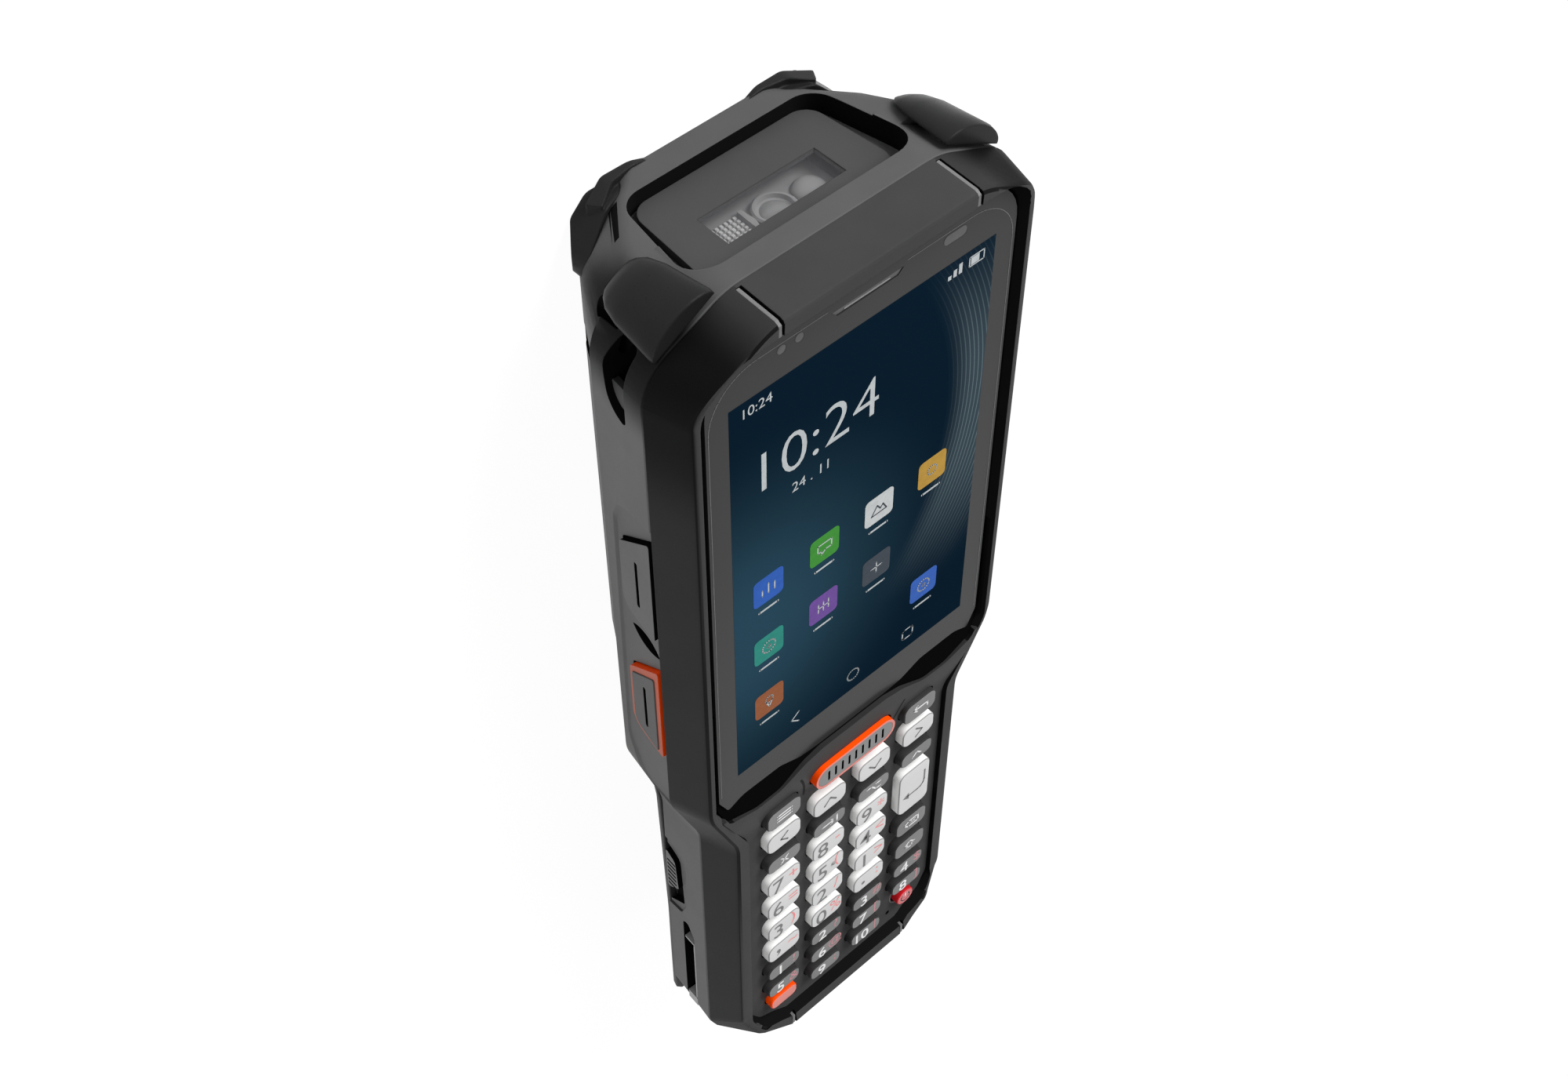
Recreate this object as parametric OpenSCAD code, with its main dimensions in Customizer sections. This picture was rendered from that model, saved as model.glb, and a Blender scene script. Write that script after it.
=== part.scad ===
/* [Display] */
// Width of the lit display
screen_w = 51.8; // [50:0.1:53]
// Length of the lit display
screen_l = 86.4; // [84:0.1:88]
// Thickness of the cover glass
glass_t = 1.1; // [0.8:0.1:1.2]

/* [Housing] */
// Half width beside the display, at the seam between the two shells
head_half = 35.3; // [35:0.1:35.8]
// Half width beside the keypad, at the same seam
grip_half = 29.2; // [28.9:0.1:29.6]
// Scanning end, measured up from the lower edge of the display
head_y = 100.6; // [100:0.1:101]
// Lower end, measured down from the lower edge of the display
foot_y = -97.2; // [-97.8:0.1:-96.8]
// Depth of the seam between the shells, below the glass
seam_z = -6.5; // [-6.8:0.1:-6.4]
// Depth of the back, below the glass
back_z = -36; // [-37:0.1:-35]
// Wall of the moulded shells
wall = 2.0; // [1.8:0.1:2.2]

/* [Rim heights above the glass] */
// Crown of the rim at the scanning end
head_crown = 2.6; // [2.3:0.1:2.8]
// Crown of the rim along the display
screen_crown = 1.0; // [0.8:0.1:1.3]
// Crown of the rim along the keypad
grip_crown = 0.3; // [0.2:0.1:0.6]
// Crown of the rim at the lower end
foot_crown = 2.2; // [1.8:0.1:2.4]

/* [Keypad] */
// Width of a key
key_w = 7.9; // [7.6:0.1:8.2]
// Spacing of the key columns
column_pitch = 11; // [10.8:0.1:11.2]
// Height of a character key
tall_key = 5.2; // [5:0.1:5.4]
// Height of a function key
short_key = 4.0; // [3.8:0.1:4.2]
// Space between two keys of a column
key_gap = 2.65; // [2.5:0.05:2.7]
// Height of a key's face above the glass
key_face = 1.1; // [0.9:0.1:1.2]
// Height of the scan key's face above the glass
scan_face = 1.6; // [1.3:0.1:1.7]
// Travel of a key
key_travel = 0.5; // [0.3:0.1:0.5]
// Surface that the keys stand in, below the glass
deck_z = -0.65; // [-0.8:0.05:-0.5]

/* [Side controls] */
// Travel of the side button and the scan triggers
trigger_travel = 0.8; // [0.5:0.1:0.8]
// How far their faces stand out of the side pad
trigger_proud = 0.9; // [0.6:0.1:1.2]

/* [Battery] */
// Upper end of the battery pack
pack_top = -8; // [-9:0.1:-7.5]
// Depth of the pack at its waist
pack_waist_z = -31.6; // [-32:0.1:-30]
// Travel of a battery latch
latch_travel = 4; // [2:0.1:4.5]

/* [Hidden] */
$fn = 48;

// The drawing's origin is the middle of the display's lower edge, on the face of the glass. X runs to the
// right, Y towards the scanning end and Z out of the glass. seat() lays the terminal on its back.
middle_y = 2.415;
glass_half = 30.1;
glass_top = 96.2;
mat_top_z = -3.95;
ledge_z = -1.55;
flange_z = -2.3;
flange_t = 0.8;
deck_t = 1.35;
clear = 0.3;
// Lower edge of the band round the seam: deeper in the head than beside the keypad, with a slope between
head_band_z = -20;
grip_band_z = -17.3;
grip_end_y = -24;
head_start_y = -8.7;
head_taper = 1.6;
grip_taper = 0.7;
arc_steps = 8;

module seat() translate([0, -middle_y, -back_z]) children();

// ---------- outlines ----------

function unit(v) = v / norm(v);
function xy(p) = [p[0], p[1]];
function turn(a) = ((a % 360) + 540) % 360 - 180;

// Points that round the corner b between a and c; each vertex is [x, y, radius]
function rounded_corner(a, b, c) =
  let (
    u = unit(xy(a) - xy(b)),
    v = unit(xy(c) - xy(b)),
    half = acos(u * v) / 2,
    middle = xy(b) + unit(u + v) * b[2] / sin(half),
    from = xy(b) + u * b[2] / tan(half) - middle,
    to = xy(b) + v * b[2] / tan(half) - middle,
    start = atan2(from[1], from[0]),
    sweep = turn(atan2(to[1], to[0]) - start)
  )
  b[2] == 0 ? [xy(b)] :
  [
    for (i = [0:arc_steps])
    let (a = start + sweep * i / arc_steps)
    middle + b[2] * [cos(a), sin(a)]
  ];

// Closed outline with its corners rounded
function rounded(v) =
  [for (i = [0:len(v) - 1]) each rounded_corner(v[(i + len(v) - 1) % len(v)], v[i], v[(i + 1) % len(v)])];

// The right half of an outline, from bottom to top, followed by its mirror image
function mirrored(half) = concat(
  half,
  [for (i = [len(half) - 1:-1:0]) [-half[i][0], half[i][1], half[i][2]]]
);

// Outline of the terminal from the front: half widths of head and grip, its two ends, and how much
// the corners of the foot are cut back
function body_outline(head, grip, top, bottom, heel) = rounded(mirrored([
  [15, bottom, 2],
  [grip - heel, bottom + 1.4 * heel, 4],
  [grip, bottom + 2.7 * heel + 2.6, 6],
  [grip, -21.6, 12],
  [head, -6, 12],
  [head, top - 7.1, 9],
  [20, top, 12]
]));

function ease(t) = let (s = min(1, max(0, t))) s * s * (3 - 2 * s);

// Height of the rim's crown at a place along the terminal
function crown(y) =
  grip_crown
  + (screen_crown - grip_crown) * ease((y + 22) / 12)
  + (head_crown - screen_crown) * ease((y - 88) / 9)
  + (foot_crown - grip_crown) * ease((-86 - y) / 8);

function at_height(outline, z) = [for (p = outline) [p[0], p[1], z]];
function at_crown(outline, drop) = [for (p = outline) [p[0], p[1], crown(p[1]) - drop]];

// A skin through rings of points that all have the same count, each ring above the last
module loft(rings) {
  n = len(rings[0]);
  last = len(rings) - 1;
  sides = [
    for (k = [0:last - 1], i = [0:n - 1])
    let (a = k * n + i, b = k * n + (i + 1) % n)
    each [[a, a + n, b + n], [a, b + n, b]]
  ];
  polyhedron(
    points = [for (ring = rings) each ring],
    faces = concat([[for (i = [0:n - 1]) i]], sides, [[for (i = [n - 1:-1:0]) last * n + i]])
  );
}

module plate(points, low, high) translate([0, 0, low]) linear_extrude(high - low) polygon(points);

// A rounded slab of true arcs, centred on x and y
module slab(x, y, w, h, r, low, high) translate([x, y, low])
  linear_extrude(high - low) rounded_rect(w, h, r);

module rounded_rect(w, h, r) {
  square([w, h - 2 * r], center = true);
  square([w - 2 * r, h], center = true);
  for (sx = [-1, 1], sy = [-1, 1]) translate([sx * (w / 2 - r), sy * (h / 2 - r)]) circle(r);
}

// Draws its children in the X-Z plane, from one place along Y to another
module along_y(from, to) translate([0, to, 0]) rotate([90, 0, 0]) linear_extrude(to - from) children();

// Draws its children in the Y-Z plane, from one place along X to another
module along_x(from, to) translate([from, 0, 0]) rotate([90, 0, 90]) linear_extrude(to - from) children();

module both_sides() {
  children();
  mirror([1, 0, 0]) children();
}

// Keeps what lies above a height
module above(z) intersection() {
  children();
  translate([-100, -150, z]) cube([200, 300, 100]);
}

// ---------- keypad layout ----------

row_heights = [
  tall_key, tall_key, short_key, tall_key, tall_key, tall_key, tall_key, short_key, short_key, short_key
];
first_row_y = -20.1;
second_row_y = -27.2;
scan_key_y = -17.8;
scan_key_w = 19;
scan_key_h = 5.7;
enter_rows = [3, 4];
blank_w = 6.6;
blank_y = -84.6;
power_d = 4.4;
power_y = -84.9;

function column_x(c) = (c - 1.5) * column_pitch;
function row_y(r) =
  r == 0 ? first_row_y :
  r == 1 ? second_row_y :
  row_y(r - 1) - (row_heights[r - 1] + row_heights[r]) / 2 - key_gap;

// Every key of the grid: [column, row]
grid_keys = [
  for (r = [0:8]) [0, r],
  for (c = [1, 2], r = [1:9]) [c, r],
  for (r = [0, 1, 2, 5, 6, 7, 8]) [3, r]
];
enter_y = (row_y(enter_rows[0]) + row_y(enter_rows[1])) / 2;
enter_h = row_y(enter_rows[0]) - row_y(enter_rows[1]) + tall_key;

module key_outline(w, h) rounded_rect(w, h, min(2.3, h / 2 - 0.05));

module grid_outline(key, grow) translate([column_x(key[0]), row_y(key[1])])
  key_outline(key_w + 2 * grow, row_heights[key[1]] + 2 * grow);

module enter_outline(grow) translate([column_x(3), enter_y])
  key_outline(key_w + 2 * grow, enter_h + 2 * grow);

module blank_outline(grow) translate([column_x(0), blank_y])
  key_outline(blank_w + 2 * grow, short_key - 0.3 + 2 * grow);

module power_outline(grow) translate([column_x(3), power_y]) circle(power_d / 2 + grow);

module scan_outline(grow) translate([0, scan_key_y])
  rounded_rect(scan_key_w + 2 * grow, scan_key_h + 2 * grow, scan_key_h / 2 + grow - 0.05);

module key_holes() {
  for (key = grid_keys) grid_outline(key, clear);
  enter_outline(clear);
  blank_outline(clear);
  power_outline(clear);
  scan_outline(clear);
}

// Cap and retaining flange of one key; child 0 is the cap's outline, child 1 the flange's
module key_solid(face = key_face) {
  translate([0, 0, flange_z - 0.01]) linear_extrude(face - flange_z + 0.01) children(0);
  translate([0, 0, flange_z - flange_t]) linear_extrude(flange_t) children(1);
}

module grid_key(c, r) seat() key_solid() {
  grid_outline([c, r], 0);
  grid_outline([c, r], 0.6);
}

module white_key(c, r) color([0.86, 0.86, 0.85]) grid_key(c, r);
module dark_key(c, r) color([0.30, 0.30, 0.31]) grid_key(c, r);

module key_5() {
  white_key(1, 4);
  color([0.86, 0.86, 0.85]) seat() translate([column_x(1) + 1.2, row_y(4) + 0.3, key_face - 0.1])
    cylinder(r = 0.45, h = 0.4);
}

module key_enter() color([0.86, 0.86, 0.85]) seat() key_solid() {
  enter_outline(0);
  enter_outline(0.6);
}

module key_blank() color([1.0, 0.33, 0.02]) seat() key_solid() {
  blank_outline(0);
  blank_outline(0.6);
}

module key_power() color([0.75, 0.10, 0.12]) seat() key_solid() {
  power_outline(0);
  power_outline(0.6);
}

insert_w = scan_key_w - 1.1;
insert_h = scan_key_h - 1.1;
insert_depth = 0.8;

module scan_key() color([1.0, 0.33, 0.02]) seat() difference() {
  key_solid(scan_face) {
    scan_outline(0);
    scan_outline(0.6);
  }
  slab(0, scan_key_y, insert_w, insert_h, insert_h / 2 - 0.05, scan_face - insert_depth, scan_face + 1);
}

// Grey insert of the scan key, with a row of nine short grip slots
module scan_key_insert() color([0.45, 0.45, 0.46]) seat() difference() {
  slab(
    0, scan_key_y, insert_w - 0.1, insert_h - 0.1, insert_h / 2 - 0.1, scan_face - insert_depth, scan_face
  );
  for (i = [-4:4]) slab(i * 1.62, scan_key_y, 0.5, 2.7, 0.24, scan_face - 0.5, scan_face + 1);
}

// ---------- front shell ----------

// Inner edge of the rim, round display and keypad together
function rim_outline(head, grip, top, bottom) = rounded(mirrored([
  [15, bottom, 2],
  [grip - 2.5, bottom + 2.8, 3],
  [grip, bottom + 6.9, 2.5],
  [grip, -22, 6],
  [head, -6.5, 6],
  [head, top, 9.6]
]));

module front_shell_form() above(seam_z) loft([
  at_height(
    body_outline(head_half + 0.15, grip_half + 0.15, head_y + 0.03, foot_y - 0.04, 2.2),
    seam_z - 0.5
  ),
  at_crown(body_outline(head_half - 2.05, grip_half - 2.25, head_y - 0.4, foot_y + 0.5, 3.7), 0.95),
  at_crown(body_outline(head_half - 2.35, grip_half - 2.55, head_y - 0.6, foot_y + 0.8, 3.8), 0.3),
  at_crown(body_outline(head_half - 2.85, grip_half - 3.05, head_y - 1.1, foot_y + 1.3, 3.9), 0),
  at_crown(body_outline(head_half - 6, grip_half - 7, head_y - 5, foot_y + 6, 2.5), 0),
  at_height(body_outline(head_half - 9, grip_half - 9, head_y - 9, foot_y + 9, 2), -0.1)
]);

// Everything above the ledges inside the rim; its flanks are the rim's sloping inner wall
module rim_cut() above(ledge_z) loft([
  at_height(rim_outline(30.55, 23.85, 96.65, -91.55), ledge_z - 1),
  at_height(rim_outline(30.65, 23.95, 96.75, -91.65), -0.3),
  at_crown(rim_outline(32.45, 24.43, 97.6, -94.1), -1),
  at_height(rim_outline(32.5, 24.5, 97.65, -94.2), 6)
]);

// Surface between the display and the foot: flat under the keys, rising to the brow under the glass
brow_z = 1.0;
deck_profile = [
  [-93, deck_z - deck_t], [-9, deck_z - deck_t], [-9, brow_z], [-13.5, brow_z - 0.1], [-17, brow_z - 0.65],
  [-20.5, deck_z + 0.35], [-24, deck_z], [-86, deck_z], [-90, deck_z + 0.2], [-93, deck_z + 0.9]
];

// Lower edge of the glass, a shallow double arch that opens at both sides into a dark brow
function glass_edge() = [
  [8, -8.75, 4], [12, -8.35, 4], [16.5, -6.55, 4], [25, -6.45, 5], [28.2, -7.9, 0.6], [30.1, -4, 1]
];
function brow_edge() = [
  [7.5, -9.1, 4], [11.5, -9.9, 5], [17, -12.3, 5], [22.5, -12.4, 5], [28.5, -10.6, 2], [31.2, -6, 1]
];

brow_outline = rounded(mirrored(concat(brow_edge(), [[31.2, 20, 1]])));

module keypad_deck() intersection() {
  along_x(-35, 35) polygon(deck_profile);
  plate(rim_outline(31.4, 24.02, 97.3, -92.7), -10, 10);
}

module front_housing() color([0.29, 0.29, 0.29]) seat() difference() {
  union() {
    difference() {
      front_shell_form();
      rim_cut();
      // Room for the display, the keypad mat and the boards, open at the seam
      plate(rim_outline(28.2, 22.9, 91.5, -90.2), seam_z - 1, -1);
      plate(
        body_outline(head_half - 2.4 - wall, grip_half - 1.6 - wall, head_y - 5, foot_y + 4.6, 3),
        seam_z - 1,
        seam_z + 2.2
      );
    }
    keypad_deck();
  }
  // The brow drops to the ledge that carries the glass
  intersection() {
    plate(brow_outline, ledge_z, 10);
    plate(rim_outline(31.2, 24.6, 97.3, -93.3), ledge_z, 10);
  }
  translate([0, 0, -10]) linear_extrude(20) key_holes();
  // Microphone hole beside the lower strip
  translate([13.2, -89.3, -5]) cylinder(r = 0.5, h = 10);
  strip_slots();
}

// ---------- contrasting strips let into the rim at both ends ----------

strip_w = 0.6;
strip_gap = 0.45;
head_strip_x = 18.7;
foot_strip_x = 14.9;

// Each slot is wider than its strip, which lies against the slot's left wall
module strip_slots() {
  for (x = [-head_strip_x, head_strip_x]) {
    translate([x - strip_w / 2, 96, head_crown - 1.0]) cube([strip_w + strip_gap, 10, 5]);
    translate([x - strip_w / 2, head_y - 1.2, seam_z + 0.6]) cube([strip_w + strip_gap, 10, 12]);
  }
  for (x = [-foot_strip_x, foot_strip_x])
    translate([x - strip_w / 2, foot_y - 5, foot_crown - 1.2]) cube([strip_w + strip_gap, 9.5, 5]);
}

// One strip: its outer face follows the rim 0.1 mm inside the slot's mouth
module trim_strips() color([0.66, 0.66, 0.66]) seat() {
  for (x = [-head_strip_x, head_strip_x]) along_x(x - strip_w / 2, x + strip_w / 2) polygon([
    [head_y - 1.15, seam_z + 0.7], [head_y - 0.15, seam_z + 0.7], [head_y - 0.55, head_crown - 0.9],
    [head_y - 1.1, head_crown - 0.1], [97.5, head_crown - 0.1], [97.5, head_crown - 0.95],
    [head_y - 1.15, head_crown - 0.95]
  ]);
  for (x = [-foot_strip_x, foot_strip_x]) along_x(x - strip_w / 2, x + strip_w / 2) polygon([
    [foot_y + 0.75, foot_crown - 1.15], [foot_y + 4.2, foot_crown - 1.15], [foot_y + 4.2, foot_crown - 0.1],
    [foot_y + 1.5, foot_crown - 0.1]
  ]);
}

// ---------- display ----------

glass_outline = rounded(mirrored(concat(glass_edge(), [[glass_half, glass_top, 8.8]])));

module display_glass() color([0.10, 0.10, 0.11]) seat() difference() {
  plate(glass_outline, -glass_t, 0);
  // Earpiece slot above the lit area
  translate([0, 91.6, -0.4]) linear_extrude(2)
    polygon([[-7, 0.55], [7, 0.55], [5.8, -0.55], [-5.8, -0.55]]);
}

module display_panel() color([0.07, 0.13, 0.20]) seat()
  slab(0, screen_l / 2 + 0.3, screen_w + 1, screen_l + 2, 2, -glass_t - 2.5, -glass_t - 0.05);

// Black seal round the glass, widened under the brow into the dark recess between glass and keypad
module display_gasket() color([0.05, 0.05, 0.05]) seat() difference() {
  intersection() {
    plate(rim_outline(30.4, 24.2, 96.5, -93), -1.5, 3);
    along_x(-35, 35) polygon([
      [100, -1.5], [100, -glass_t], [20, -glass_t], [20, -0.35], [-6, -0.35], [-13, 0.55], [-13, -1.5]
    ]);
    union() {
      plate(brow_outline, -5, 5);
      translate([-40, 10, -5]) cube([80, 100, 10]);
    }
  }
  plate(rim_outline(28.0, 23, 92.5, -93), -5, -glass_t - 0.02);
  plate(glass_outline, -glass_t, 10);
}

// ---------- inside ----------

mat_outline = rounded(mirrored([[14.8, -89.6, 2], [19.9, -86.9, 3], [22.4, -82.9, 2.5], [22.4, -13, 3]]));

module keypad_mat() color([0.12, 0.12, 0.12]) seat() difference() {
  plate(mat_outline, mat_top_z - 1.4, mat_top_z);
  // Contact domes, seen from the back
  for (key = grid_keys) translate([column_x(key[0]), row_y(key[1]), mat_top_z - 1.5])
    cylinder(r = 1.6, h = 0.7);
}

module main_board() color([0.10, 0.35, 0.22]) seat() {
  plate(rim_outline(28.4, 23.4, 78.7, -86), -9.4, -8.2);
  for (p = [[-12, 60, 16, 12], [10, 50, 14, 14], [-8, 25, 20, 10], [12, 20, 10, 8]])
    translate([p[0] - p[2] / 2, p[1] - p[3] / 2, -8.3]) cube([p[2], p[3], 1.7]);
}

// ---------- rear shell ----------

module band_form() loft([
  at_depth(head_half - head_taper - 0.5, grip_half - 0.85, head_y - 0.8, foot_y + 3.4, head_band_z),
  at_depth(head_half - 0.65, grip_half - 0.36, head_y - 0.4, foot_y + 1.6, -12),
  at_depth(head_half - 0.05, grip_half - 0.03, head_y - 0.05, foot_y + 0.15, seam_z - 0.4),
  at_depth(head_half - 0.65, grip_half - 0.67, head_y - 0.65, foot_y + 0.65, seam_z + 0.4)
]);

function at_depth(head, grip, top, bottom, z) = at_height(body_outline(head, grip, top, bottom, 2.2), z);

// Outline of the head's bulge at one depth; cut is how far its upper corners are cut back
function bulge_outline(half, neck, low, top, cut) = rounded(mirrored([
  [neck, low, 2],
  [half, low + 14.5, 10],
  [half, top - cut, 6],
  [half - cut, top, 5]
]));

// The head narrows towards the back, and its back lies level with the heel of the battery pack
module head_form() loft([
  at_height(bulge_outline(20.1, 11, 14, 98.3, 8.5), back_z),
  at_height(bulge_outline(21.8, 12.5, 11, 99.1, 8), back_z + 0.8),
  at_height(bulge_outline(23.4, 14, 6, 98.8, 7.8), back_z + 2.6),
  at_height(bulge_outline(25.2, 14.5, pack_top + 2, 98.7, 7.3), pack_waist_z),
  at_height(bulge_outline(28.8, 21.5, pack_top + 1, 99, 6.2), -25.5),
  at_height(bulge_outline(32.3, 26.5, pack_top, 99.1, 6.4), head_band_z + 0.5),
  at_height(bulge_outline(33, 27.5, pack_top, 99.2, 7.2), head_band_z + 4)
]);

// Mouth of the scanner, seen along the terminal: wide in front, narrower at the back
mouth_outline = rounded([[18.2, -31, 4.5], [21.7, -11, 4.5], [-21.7, -11, 4.5], [-18.2, -31, 4.5]]);
bezel_outline = rounded([[16.9, -30.4, 3.5], [18.3, -11.8, 3.5], [-18.3, -11.8, 3.5], [-16.9, -30.4, 3.5]]);
bezel_y = 96.8;
bezel_t = 1.6;
window_w = 22.2;
window_h = 6.6;
window_z = -19.3;

module mouth_cut() {
  along_y(bezel_y - bezel_t, 110) polygon(mouth_outline);
  // Chamber of the scan engine
  translate([-14, 66, -27]) cube([28, 40, 14]);
}

// Places its children on the outer face of the head's or the grip's side: X out of the face, Z up
// to the seam
module head_side() translate([head_half, 0, seam_z]) rotate([0, atan(head_taper / 13.5), 0]) children();
module grip_side() translate([grip_half, 0, seam_z]) rotate([0, atan(grip_taper / 10.8), 0]) children();

// Strap eye in each side of the head, with the hole that leads its loop out at the corner
eye_outline = rounded([
  [81.2, -4.6, 0.8], [94.2, -4.6, 0.8], [94.4, -8.6, 1.2], [89.5, -10.2, 4], [82, -9.2, 4]
]);
eye_depth = 6.8;

module strap_eye() {
  head_side() along_x(-eye_depth, 5) polygon(eye_outline);
  translate([30, 89.8, -13.6]) rotate([221, 0, 0]) linear_extrude(16) rounded_rect(2.2, 4.6, 1.05);
}

// Long strap slot low on each side, open at the foot
slot_depth = 4;
slot_outline = rounded([
  [foot_y - 5, -6.9, 0], [foot_y - 5, -3.7, 0], [-62.6, -3.7, 4], [-58.6, -5.6, 0.8], [-59.8, -6.9, 0.6]
]);

// Shallow pad that carries the side controls, with sloping flanks
pad_depth = 0.7;
function pad_outline(grow) = rounded([
  [-7.5 - grow, -7.5 - grow, 4], [0, -11.8 - grow, 8], [57 + grow, -10.3 - grow, 4],
  [61.4 + grow, -8 - grow, 3],
  [62.4 + grow, 1, 0.3], [-6.5 - grow, 1, 0.3]
]);

module pad_cut() head_side() rotate([90, 0, 90]) above(-pad_depth) loft([
  at_height(pad_outline(-1), -pad_depth - 0.7),
  at_height(pad_outline(2.4), 1)
]);

// A side control: its lower end lies level, its upper end rises towards the front. Its pocket runs
// on past the seam
function control_outline(high, low, grow, rise) = rounded([
  [low - grow, -0.65 + rise, 0.3],
  [high + grow + 0.73 * rise, -0.65 + rise, 0.3],
  [high - 6.2 + grow * 0.4, -8.8 - grow, 1.2],
  [low + 1.6, -8.9 - grow, 3.2],
  [low + 0.5 - grow, -4, 8]
]);

button_high = 60;
button_low = 37.6;
trigger_high = 29.4;
trigger_low = 7;
pocket_depth = 4.5;

module control_pocket(high, low) head_side()
  along_x(-pocket_depth, 5) polygon(control_outline(high, low, clear, 1.2));

// Lens-shaped hollow that keeps the finger between the button and the trigger
module finger_hollow() mirror([1, 0, 0]) head_side()
  translate([0, 33, -4.6]) rotate([14, 0, 0]) along_x(-pad_depth - 2.2, 5) intersection() {
    translate([-3.6, 0]) circle(5.2);
    translate([3.6, 0]) circle(5.2);
  }

// Field, runway and pocket of a battery latch
latch_field = rounded([
  [-35, -16, 0.5], [-35.4, -8.5, 3], [-39, -5.1, 4], [-53, -5.6, 3], [-57, -7.2, 1], [-58.6, -16, 0.5]
]);
latch_pocket = rounded([
  [-37.6, -16, 0.4], [-37.6, -11, 0.4], [-39.6, -7.2, 2.5], [-54, -6.7, 0.8], [-57, -11, 0.8],
  [-57.2, -16, 0.4]
]);

module latch_cuts() grip_side() {
  along_x(-0.45, 5) polygon(latch_field);
  along_x(-1.8, 5) polygon(latch_pocket);
}

// Flat seats of the front corner bumpers, and the seats of the rear ones
bumper_mid = [27.05, 97.95];
bumper_turn = -28.8;

module bumper_seats() {
  translate([bumper_mid[0], bumper_mid[1], -20.6]) rotate([0, 0, bumper_turn])
    translate([-9, -0.05, 0]) cube([18, 9, 21]);
  rear_bumper();
}

screw_places = [[-26, 78], [26, 78], [-27.5, 2], [27.5, 2]];
screw_r = 2.3;

module rear_housing() color([0.33, 0.33, 0.33]) seat() difference() {
  union() {
    intersection() {
      band_form();
      // The band is shallower beside the keypad
      along_x(-50, 50) polygon([
        [-110, seam_z], [-110, grip_band_z], [grip_end_y, grip_band_z], [head_start_y, head_band_z - 0.3],
        [110, head_band_z - 1], [110, seam_z]
      ]);
    }
    head_form();
  }
  // Board chamber
  plate(rim_outline(29.2, 24, 79.5, -87), -12, seam_z + 1);
  mouth_cut();
  both_sides() {
    strap_eye();
    grip_side() along_x(-slot_depth, 5) polygon(slot_outline);
    pad_cut();
    control_pocket(trigger_high, trigger_low);
    latch_cuts();
    bumper_seats();
  }
  mirror([1, 0, 0]) control_pocket(button_high, button_low);
  finger_hollow();
  // Camera window, and the counterbored screw holes
  translate([0, 72, back_z - 1]) cylinder(r = 5.2, h = 1.8);
  for (p = screw_places) translate([p[0], p[1], head_band_z - 12]) {
    cylinder(r = screw_r, h = 13.2);
    cylinder(r = 1.3, h = 18);
  }
}

module screws() color([0.55, 0.55, 0.57]) seat() for (p = screw_places)
  translate([p[0], p[1], head_band_z]) {
    cylinder(r = 1.25, h = 5);
    difference() {
      translate([0, 0, -1.2]) cylinder(r = 2.2, h = 2.2);
      translate([0, 0, -1.3]) cylinder(r = 1.1, h = 0.9, $fn = 6);
    }
  }

// ---------- scanning end ----------

module scan_bezel() color([0.28, 0.28, 0.28]) seat() difference() {
  along_y(bezel_y - bezel_t + 0.02, bezel_y) polygon(bezel_outline);
  translate([-window_w / 2, 90, window_z - window_h / 2]) cube([window_w, 10, window_h]);
  translate([-window_w / 2 - 1, 90, window_z - window_h / 2 - 1])
    cube([window_w + 2, bezel_y - 0.9 - 90, window_h + 2]);
}

module scan_window() color([0.35, 0.36, 0.37]) seat() {
  translate([-window_w / 2 + 0.1, bezel_y - 0.95, window_z - window_h / 2 + 0.1])
    cube([window_w - 0.2, 0.9, window_h - 0.2]);
  translate([-window_w / 2 - 0.9, bezel_y - 1.6, window_z - window_h / 2 - 0.9])
    cube([window_w + 1.8, 0.65, window_h + 1.8]);
}

module scan_engine() color([0.2, 0.2, 0.2]) seat() difference() {
  union() {
    translate([-12, 74, -25.5]) cube([24, 17, 12.5]);
    translate([0, 94.2, -19.3]) rotate([90, 0, 0]) cylinder(r = 3.3, h = 4);
    translate([7.6, 93.4, -19.3]) rotate([90, 0, 0]) cylinder(r = 2.2, h = 3);
  }
  translate([0, 95, -19.3]) rotate([90, 0, 0]) cylinder(r = 2.1, h = 1.6);
  for (i = [0:4], j = [-2:2]) translate([-10.6 + i * 1.3, 90.4, -19.8 + j * 1.3]) cube([1, 2, 1]);
}

// ---------- corner bumpers ----------

// One section of the front bumper: a flat side on the seat and a domed outer side
module front_bumper() translate([bumper_mid[0], bumper_mid[1], 0]) rotate([0, 0, bumper_turn]) loft([
  for (k = [
    [-20.4, 2.6, 0.7], [-19.8, 3.5, 1.2], [-18.4, 4.5, 1.9], [-15.5, 5.3, 2.6], [-11, 5.8, 3.0],
    [-7.6, 6.2, 3.3], [-6.9, 6.1, 3.1]
  ])
  at_height(dome(k[1], k[2]), k[0])
]);

// Half width and height of a dome that ends in thin lips
function dome(w, h) = concat(
  [[-w, 0], [w, 0]],
  [for (i = [0:16]) let (a = i * 180 / 16) [w * cos(a), 0.3 + (h - 0.3) * pow(sin(a), 1.25)]]
);

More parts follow.
